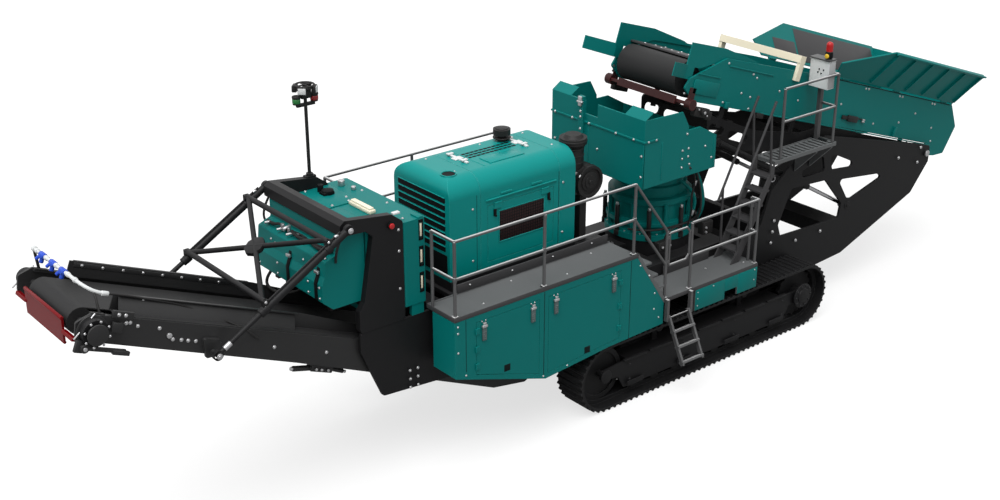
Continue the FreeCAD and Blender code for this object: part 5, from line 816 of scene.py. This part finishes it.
# Water bar and hose. White pipe with three blue spray heads over the head
# drum on black posts, fed by a hose that is clipped along the skirt.
water = turned_rods((-6.72, -0.36, 0.31, -6.72, 0.735, 0.31, 0.021),
    (-6.72, 0.7, 0.31, -6.72, 0.745, 0.31, 0.034, 16, 0.006))
water += [turned_rod((-6.72, y, 0.31), (-6.72, y + 0.05, 0.31), 0.029, 14, 0.004)
    for y in (-0.38, -0.2, 0.1, 0.36, 0.62)]
water += [bent_pipe([(-6.72, -0.36, 0.31), (-6.71, -0.44, 0.305), (-6.66, -0.53, 0.29), (-6.58, -0.58, 0.272),
    (-6.5, -0.6, 0.27)], 0.021), turned_rod((-6.52, -0.6, 0.27), (-6.44, -0.6, 0.27), 0.028, 14, 0.005)]
bar_piece = fit_piece(water, "water_bar", white_plate, "conveyor", *on_conveyor)
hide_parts("spray_bar")
posts = turned_rods((-6.6, 0.735, 0.08, -6.72, 0.735, 0.3, 0.018, 12),
    (-6.55, -0.735, 0.08, -6.6, -0.6, 0.262, 0.014, 12))
posts += [pressed_block((-6.66, y - 0.03, 0.078), (-6.5, y + 0.03, 0.09)) for y in (-0.735, 0.735)]
posts.append(bent_pipe([(-6.45, -0.6, 0.27), (-6.2, -0.6, 0.275), (-5.9, -0.59, 0.25), (-5.6, -0.585, 0.24),
    (-5.35, -0.59, 0.19), (-5.2, -0.6, 0.17), (-5.0, -0.62, 0.12), (-4.85, -0.7, 0.1), (-4.7, -0.8, 0.06),
    (-4.55, -0.81, -0.02)], 0.013))
fit_piece(posts, "water_bar_posts_and_hose", rubber_black, "conveyor", *on_conveyor)
spray_blue = machine_finish("spray_blue", (0.01, 0.06, 0.5), (0.1, 0.25, 0.8), 0.35, cloud=0.1,
    shine=0.4)
heads = []
for y in (-0.06, 0.2, 0.48):
    heads += turned_rods((-6.72, y - 0.05, 0.31, -6.72, y + 0.07, 0.31, 0.034, 14, 0.006),
        (-6.72, y + 0.01, 0.32, -6.72, y + 0.01, 0.22, 0.026, 14, 0.006))
    heads += pressed_blocks((-6.755, y - 0.02, 0.27, -6.685, y + 0.05, 0.33, 0.01))
    heads += turned_rods((-6.72, y + 0.05, 0.31, -6.76, y + 0.07, 0.24, 0.02, 12, 0.005))
fit_piece(heads, "water_bar_spray_heads", spray_blue, "conveyor", *on_conveyor)

# Belt plough. Deep red pressed blade with rolled edges, held in front of the
# head drum by two thin plated arms.
plough_red = machine_finish("deep_red_paint", (0.15, 0.001, 0.003), (0.5, 0.05, 0.05), 0.3,
    cloud=0.1, shine=0.18, grain=0.01)
wear_finish(plough_red, "belt_plough")
roll = turned_rods((-6.828, -0.488, -0.085, -6.828, 0.488, -0.085, 0.022, 16, 0.004),
    (-6.716, -0.488, -0.35, -6.716, 0.488, -0.35, 0.018, 14, 0.004))
fit_piece(roll, "plough_rolled_edges", plough_red, "conveyor", *on_conveyor)

# Feed box. Green folded hopper over the bowl, its raised band bolted along
# the fold, with a plated hinge bracket on the rib and a bolt cluster on the
# near wall.
fold = bolt_heads([(-1.1295, y, 3.61) for y in (-0.75, -0.4, 0.15, 0.5, 0.87)] + [(-1.1165, y, z)
    for y, z in ((0.33, 3.5), (0.34, 3.36), (-0.02, 3.27), (-0.9, 3.1), (-0.9, 3.4), (0.88, 3.2))], front_way,
    0.015, 0.011)
fold += bolt_heads([(x, -0.951, z) for x, z in ((-0.36, 3.33), (-0.24, 3.34), (-0.36, 3.21), (-0.36, 3.08),
    (-0.21, 3.1), (-0.24, 3.22), (-0.28, 3.56), (0.1, 3.3), (0.24, 3.1))], near_way, 0.013, 0.01)
fold += bolt_heads([(x, -0.965, 3.61) for x in (-1.05, -0.9)], near_way, 0.013, 0.01)
fold += bolt_heads([(x, 0.951, z) for x in (-0.9, -0.3, 0.2) for z in (3.05, 3.4)], far_way, 0.013, 0.01)
fold += pressed_blocks((-1.185, 0.262, 3.84, -1.158, 0.33, 3.98, 0.006))
fold += turned_rods((-1.175, 0.24, 3.9, -1.175, 0.352, 3.9, 0.016, 12, 0.004))
fold += bolt_heads([(-1.16, 0.295, z) for z in (3.5, 3.68, 3.76)], front_way, 0.015, 0.012)
fit_piece(fold, "feed_box_bolts", silver)
edges = pressed_blocks((-1.118, -0.95, 2.93, -1.1, -0.93, 3.6),
    (-0.78, -0.956, 3.0, -0.76, -0.945, 3.55, 0.003), (0.27, -0.956, 2.94, 0.29, -0.945, 3.4, 0.003),
    (-1.119, 0.16, 2.95, -1.112, 0.175, 3.59, 0.002))
fit_piece(edges, "feed_box_seams", teal_paint)
guard = pressed_blocks((-1.0, 0.58, 2.3, -0.96, 0.62, 2.92, 0.005),
    (-1.16, 0.575, 2.84, -0.8, 0.625, 2.925, 0.006))
guard += laid_strip([(-0.98, 2.32), (-0.98, 1.83)], 0.57, 0.63, 0.05)
fit_piece(guard, "feed_box_stays", teal_paint)

# Crusher bowl. Cast green rings with dark clamping cylinders between their
# flanges, plated caps, and hydraulic hoses that run round the outside.
rams = []
caps = []
for i in range(8):
    a = math.radians(45.0 * i)
    x, y = 0.655 * math.cos(a), 0.655 * math.sin(a)
    rams += turned_rods((x, y, 1.92, x, y, 2.3, 0.034, 14, 0.005), (x, y, 1.84, x, y, 1.92, 0.045, 14, 0.006))
    caps += turned_rods((x, y, 2.3, x, y, 2.345, 0.024, 12, 0.005))
for i in range(16):
    a = math.radians(22.5 * i + 11.0)
    caps += bolt_heads([(0.625 * math.cos(a), 0.625 * math.sin(a), 1.911)], up_way, 0.016, 0.014)
    caps += bolt_heads([(0.53 * math.cos(a), 0.53 * math.sin(a), 2.801)], up_way, 0.013, 0.012)
ring = [(0.71 * math.cos(math.radians(a)), 0.71 * math.sin(math.radians(a)),
    2.03 + 0.03 * math.sin(math.radians(3 * a))) for a in range(-160, 21, 18)]
rams.append(bent_pipe(ring, 0.016))
rams.append(bent_pipe([(0.1, -0.7, 2.0), (0.12, -0.76, 2.2), (0.05, -0.78, 2.45), (0.1, -0.8, 2.7),
    (0.0, -0.86, 2.9), (-0.2, -0.96, 3.05)], 0.016))
rams.append(bent_pipe([(0.3, -0.62, 1.95), (0.36, -0.7, 2.1), (0.4, -0.66, 2.4), (0.36, -0.6, 2.7),
    (0.3, -0.55, 2.91)], 0.018))
rams.append(bent_pipe([(-0.3, -0.64, 1.86), (-0.4, -0.72, 1.98), (-0.2, -0.76, 2.1), (-0.05, -0.72, 2.0),
    (0.0, -0.68, 1.86)], 0.014))
rams += pressed_blocks((0.32, -0.82, 1.82, 0.52, -0.7, 2.02, 0.012),
    (-0.62, -0.84, 1.82, -0.36, -0.74, 1.95, 0.012))
fit_piece(rams, "bowl_cylinders_and_hoses", rubber_black)
caps += [turned_rod((0.36, -0.82, z), (0.36, -0.85, z), 0.018, 12, 0.004)
    for z in (1.87, 1.94)] + [turned_rod((x, -0.84, 1.88), (x, -0.868, 1.88), 0.018, 12, 0.004)
    for x in (-0.56, -0.48, -0.41)]
caps += turned_rods((0.1, -0.79, 2.66, 0.1, -0.81, 2.74, 0.024, 12, 0.004),
    (0.12, -0.75, 2.18, 0.12, -0.77, 2.26, 0.024, 12, 0.004))
fit_piece(caps, "bowl_caps_and_bolts", silver)
pipes = [bent_pipe([(0.45, -0.5, 1.9), (0.52, -0.6, 2.1), (0.5, -0.58, 2.45), (0.44, -0.5, 2.7),
    (0.36, -0.42, 2.92)], 0.035, 14),
    bent_pipe([(0.2, -0.66, 2.12), (0.25, -0.7, 2.3), (0.2, -0.68, 2.5), (0.12, -0.62, 2.6),
    (0.08, -0.55, 2.66)], 0.026, 12)]
fit_piece(pipes, "bowl_green_pipes", teal_paint)

# Feeder head. Green side plates and flares, a dark bolted cover plate over
# the belt behind the drum, a pressed side cover and the red-edged scraper.
on_feeder = (5.7, 0.0, 1.9), 18.5
cover = pressed_blocks((-6.02, -0.7, 0.69, -5.42, 0.7, 0.702, 0.003),
    (-6.05, -0.7, 0.668, -6.01, 0.7, 0.7, 0.005))
fit_piece(cover, "feeder_cover_plate", rim_grey, "feeder", *on_feeder)
studs = bolt_heads([(x, y, 0.702) for x in (-5.95, -5.72, -5.5) for y in (-0.5, -0.17, 0.17, 0.5)], up_way,
    0.014, 0.01)
for side in (-1.0, 1.0):
    face = side * 0.7505
    studs += bolt_heads([(x, face, z) for x, z in ((-5.5, 0.74), (-5.6, 0.4), (-4.9, 0.66), (-4.8, 0.62),
        (-5.05, 0.36), (-4.83, 0.33), (-4.8, 0.16), (-5.4, 0.18), (-4.2, 0.5), (-3.7, 0.42), (-3.2, 0.5),
        (-3.3, 0.25), (-2.6, 0.5), (-0.5, 0.6), (0.1, 0.42), (0.2, 0.2), (-0.05, 0.05), (-0.5, 0.12),
        (-0.9, 0.4), (-1.6, 0.3))], (0.0, side, 0.0), 0.014, 0.011)
    studs += bolt_heads([(-6.23, side * 0.722, z) for z in (0.2, 0.27)], (0.0, side, 0.0), 0.014, 0.011)
fit_piece(studs, "feeder_bolts", silver, "feeder", *on_feeder)
panels = []
for side in (-1.0, 1.0):
    a, b = sorted((side * 0.7505, side * 0.766))
    panels += pressed_blocks((-6.12, a, 0.22, -5.58, b, 0.43, 0.008), (-5.47, a, 0.695, -4.44, b, 0.715, 0.005),
        (-6.1, a, 0.5, -5.6, b, 0.52, 0.005),
        (-4.5, a, 0.12, 0.2, min(b, a + 0.01) if side > 0 else b, 0.14, 0.003))
    e, f = sorted((side * 0.7505, side * 0.79))
    panels += pressed_blocks((-1.0, e, 0.15, -0.94, f, 0.32, 0.006), (-5.36, e, 0.1, -5.28, f, 0.2, 0.01))
fit_piece(panels, "feeder_side_covers", teal_paint, "feeder", *on_feeder)
blade_red = machine_finish("dark_red_brown", (0.035, 0.008, 0.008), (0.3, 0.02, 0.02), 0.5,
    cloud=0.3, shine=0.3, grain=0.2)
wear_finish(blade_red, "belt_scraper")
block_parts = pressed_blocks((-6.05, -0.86, -0.08, -5.75, -0.77, 0.06, 0.012))
block_parts += turned_rods((-5.9, -0.86, 0.0, -5.9, -0.9, 0.0, 0.05, 16, 0.008))
block_parts += pressed_blocks((-5.8, -0.84, -0.1, -5.66, -0.78, 0.02, 0.01),
    (-6.05, 0.77, -0.08, -5.75, 0.86, 0.06, 0.012), (-4.6, -0.79, 0.05, -4.45, -0.752, 0.13, 0.008),
    (-2.35, -0.8, 0.26, -2.1, -0.752, 0.36, 0.012), (-2.5, -0.78, 0.28, -2.35, -0.755, 0.34, 0.006))
block_parts += turned_rods((-2.1, -0.78, 0.33, -1.95, -0.78, 0.33, 0.012, 10, 0.002))
fit_piece(block_parts, "feeder_motor_blocks", rubber_black, "feeder", *on_feeder)
tips = turned_rods((-1.96, -0.78, 0.33, -1.9, -0.78, 0.33, 0.016, 10),
    (-1.96, -0.78, 0.3, -1.9, -0.78, 0.3, 0.016, 10), (-5.9, -0.9, 0.0, -5.9, -0.915, 0.0, 0.022, 12, 0.004),
    (-6.0, -0.862, 0.03, -6.0, -0.88, 0.03, 0.014, 10), (-5.8, -0.862, -0.04, -5.8, -0.88, -0.04, 0.014, 10))
fit_piece(tips, "feeder_hose_tips", silver, "feeder", *on_feeder)

# Metal detector. Cream enclosure over the belt on its two posts, bolted to
# the feeder's side plates.
wear_finish(cream_paint, "metal_detector")

# Hopper wings and rear wall. Ribbed green plates hinged on the feeder's side
# plates with bolt pairs along the seam; a dark wear liner lies inside each
# wing, and a folded rim runs along its top.
seams = []
for side in (-1.0, 1.0):
    a, b = sorted((side * 0.751, side * 0.757))
    seams.append(pressed_block((-2.9, a, 0.855), (0.45, b, 0.868), 0.0))
fit_piece(seams, "wing_seam_shadow_gaps", recess_shade_and_seam_dark, "feeder", *on_feeder)
pairs = []
for side in (-1.0, 1.0):
    pairs += bolt_heads([(x + d, side * 0.7505, 0.82) for x in (-2.03, -1.05, -0.05) for d in (-0.04, 0.04)],
        (0.0, side, 0.0), 0.014, 0.012)
fit_piece(pairs, "wing_hinge_bolts", silver, "feeder", *on_feeder)


def laid_on_wing(parts, side):
    """Mirror flat parts for their side and lay them on the leaning wing."""
    for part in parts:
        part.scale = (1.0, side, 1.0)
        bpy.ops.object.select_all(action="DESELECT")
        part.select_set(True)
        bpy.context.view_layer.objects.active = part
        settle()
        part.rotation_euler = (-math.radians(wing_lean) * side, 0.0, 0.0)
        part.location = (0.0, side * wing_hinge_y, wing_hinge_z)
    return parts


def turn_faces_out():
    """Recalculate the normals of the piece just made."""
    bpy.ops.object.mode_set(mode="EDIT")
    bpy.ops.mesh.select_all(action="SELECT")
    bpy.ops.mesh.normals_make_consistent(inside=False)
    bpy.ops.object.mode_set(mode="OBJECT")


wing_lean = 35.0
wing_hinge_y, wing_hinge_z = 0.735, 0.8923
for side, body in ((-1.0, "wing_near"), (1.0, "wing_far")):
    rims = laid_on_wing(pressed_blocks((-2.1, -0.004, 0.69, 0.52, 0.05, 0.724)), side)
    fit_piece(rims, body + "_rim", teal_paint, body, *on_feeder)
    turn_faces_out()
    liner = pressed_blocks((-1.9, -0.018, 0.07, 0.42, -0.0125, 0.66, 0.002),
        (-2.55, -0.018, 0.07, -1.95, -0.0125, 0.4, 0.002))
    liner = laid_on_wing(liner, side)
    fit_piece(liner, body + "_liner", rim_grey, body, *on_feeder)
    turn_faces_out()

# Control cabinet. White steel case on a dark stand with a dark lid, small
# knobs on its front, and a yellow and black sounder under a red beacon.


def banded_by_height(finish, bands):
    """Colour a finish in level bands, each from its own height in metres."""
    tree = finish.node_tree
    add, link = tree.nodes.new, tree.links.new
    place = add("ShaderNodeTexCoord")
    split = add("ShaderNodeSeparateXYZ")
    span = add("ShaderNodeMapRange")
    span.inputs["From Max"].default_value = 5.0
    ramp = add("ShaderNodeValToRGB")
    ramp.color_ramp.interpolation = "CONSTANT"
    while len(ramp.color_ramp.elements) < len(bands):
        ramp.color_ramp.elements.new(0.5)
    for element, (level, colour) in zip(ramp.color_ramp.elements, bands):
        element.position = level / 5.0
        element.color = (*colour, 1.0)
    link(place.outputs["Object"], split.inputs[0])
    link(split.outputs["Z"], span.inputs["Value"])
    link(span.outputs["Result"], ramp.inputs["Fac"])
    shade = add("ShaderNodeMix")
    shade.data_type = "RGBA"
    shade.blend_type = "MULTIPLY"
    shade.inputs[0].default_value = 1.0
    shader = tree.nodes["Principled BSDF"]
    old = shader.inputs["Base Color"].links[0].from_socket
    link(old, shade.inputs[6])
    link(ramp.outputs["Color"], shade.inputs[7])
    link(shade.outputs[2], shader.inputs["Base Color"])
    return finish


cabinet_finish = machine_finish("cabinet_enamel", (0.8, 0.81, 0.81), (1.0, 1.0, 1.0), 0.35,
    cloud=0.04, shine=0.4, grain=0.03)
banded_by_height(cabinet_finish, [(0.0, (0.07, 0.07, 0.072)), (3.709, (0.85, 0.86, 0.86)),
    (4.1355, (0.06, 0.06, 0.062)), (4.27, (0.5, 0.008, 0.01))])
wear_finish(cabinet_finish, "control_cabinet")
knobs = [turned_rod((2.45, y, z), (2.438, y, z), 0.012, 12)
    for y, z in ((-0.98, 3.95), (-1.04, 3.94), (-1.0, 4.0), (-1.08, 4.0))]
knobs += pressed_blocks((2.56, -1.14, 2.87, 2.63, -0.86, 2.885))
fit_piece(knobs, "cabinet_knobs", shade_and_black_paint)
# Painted shade: a grey sheet covers the white case's side, standing in for the shade on that side.
side_shade_sheet = pressed_blocks((2.455, -1.179, 3.72, 2.595, -1.1745, 4.13, 0.002))
case_side_shade = machine_finish("cabinet_side_painted_shade", (0.34, 0.35, 0.355), (0.6, 0.6, 0.6), 0.4,
    cloud=0.05, shine=0.3, grain=0.03)
fit_piece(side_shade_sheet, "cabinet_side_shade_sheet", case_side_shade)
sounder = turned_rods((2.525, -1.095, 4.17, 2.525, -1.095, 4.262, 0.058, 20, 0.01))
fit_piece(sounder, "beacon_sounder", shade_and_black_paint)
horn = turned_rods((2.48, -1.1, 4.21, 2.455, -1.1, 4.21, 0.035, 16, 0.006))
signal_yellow = machine_finish("signal_yellow", (0.75, 0.48, 0.03), (0.9, 0.7, 0.2), 0.35,
    cloud=0.08, shine=0.4)
fit_piece(horn, "beacon_horn", signal_yellow)
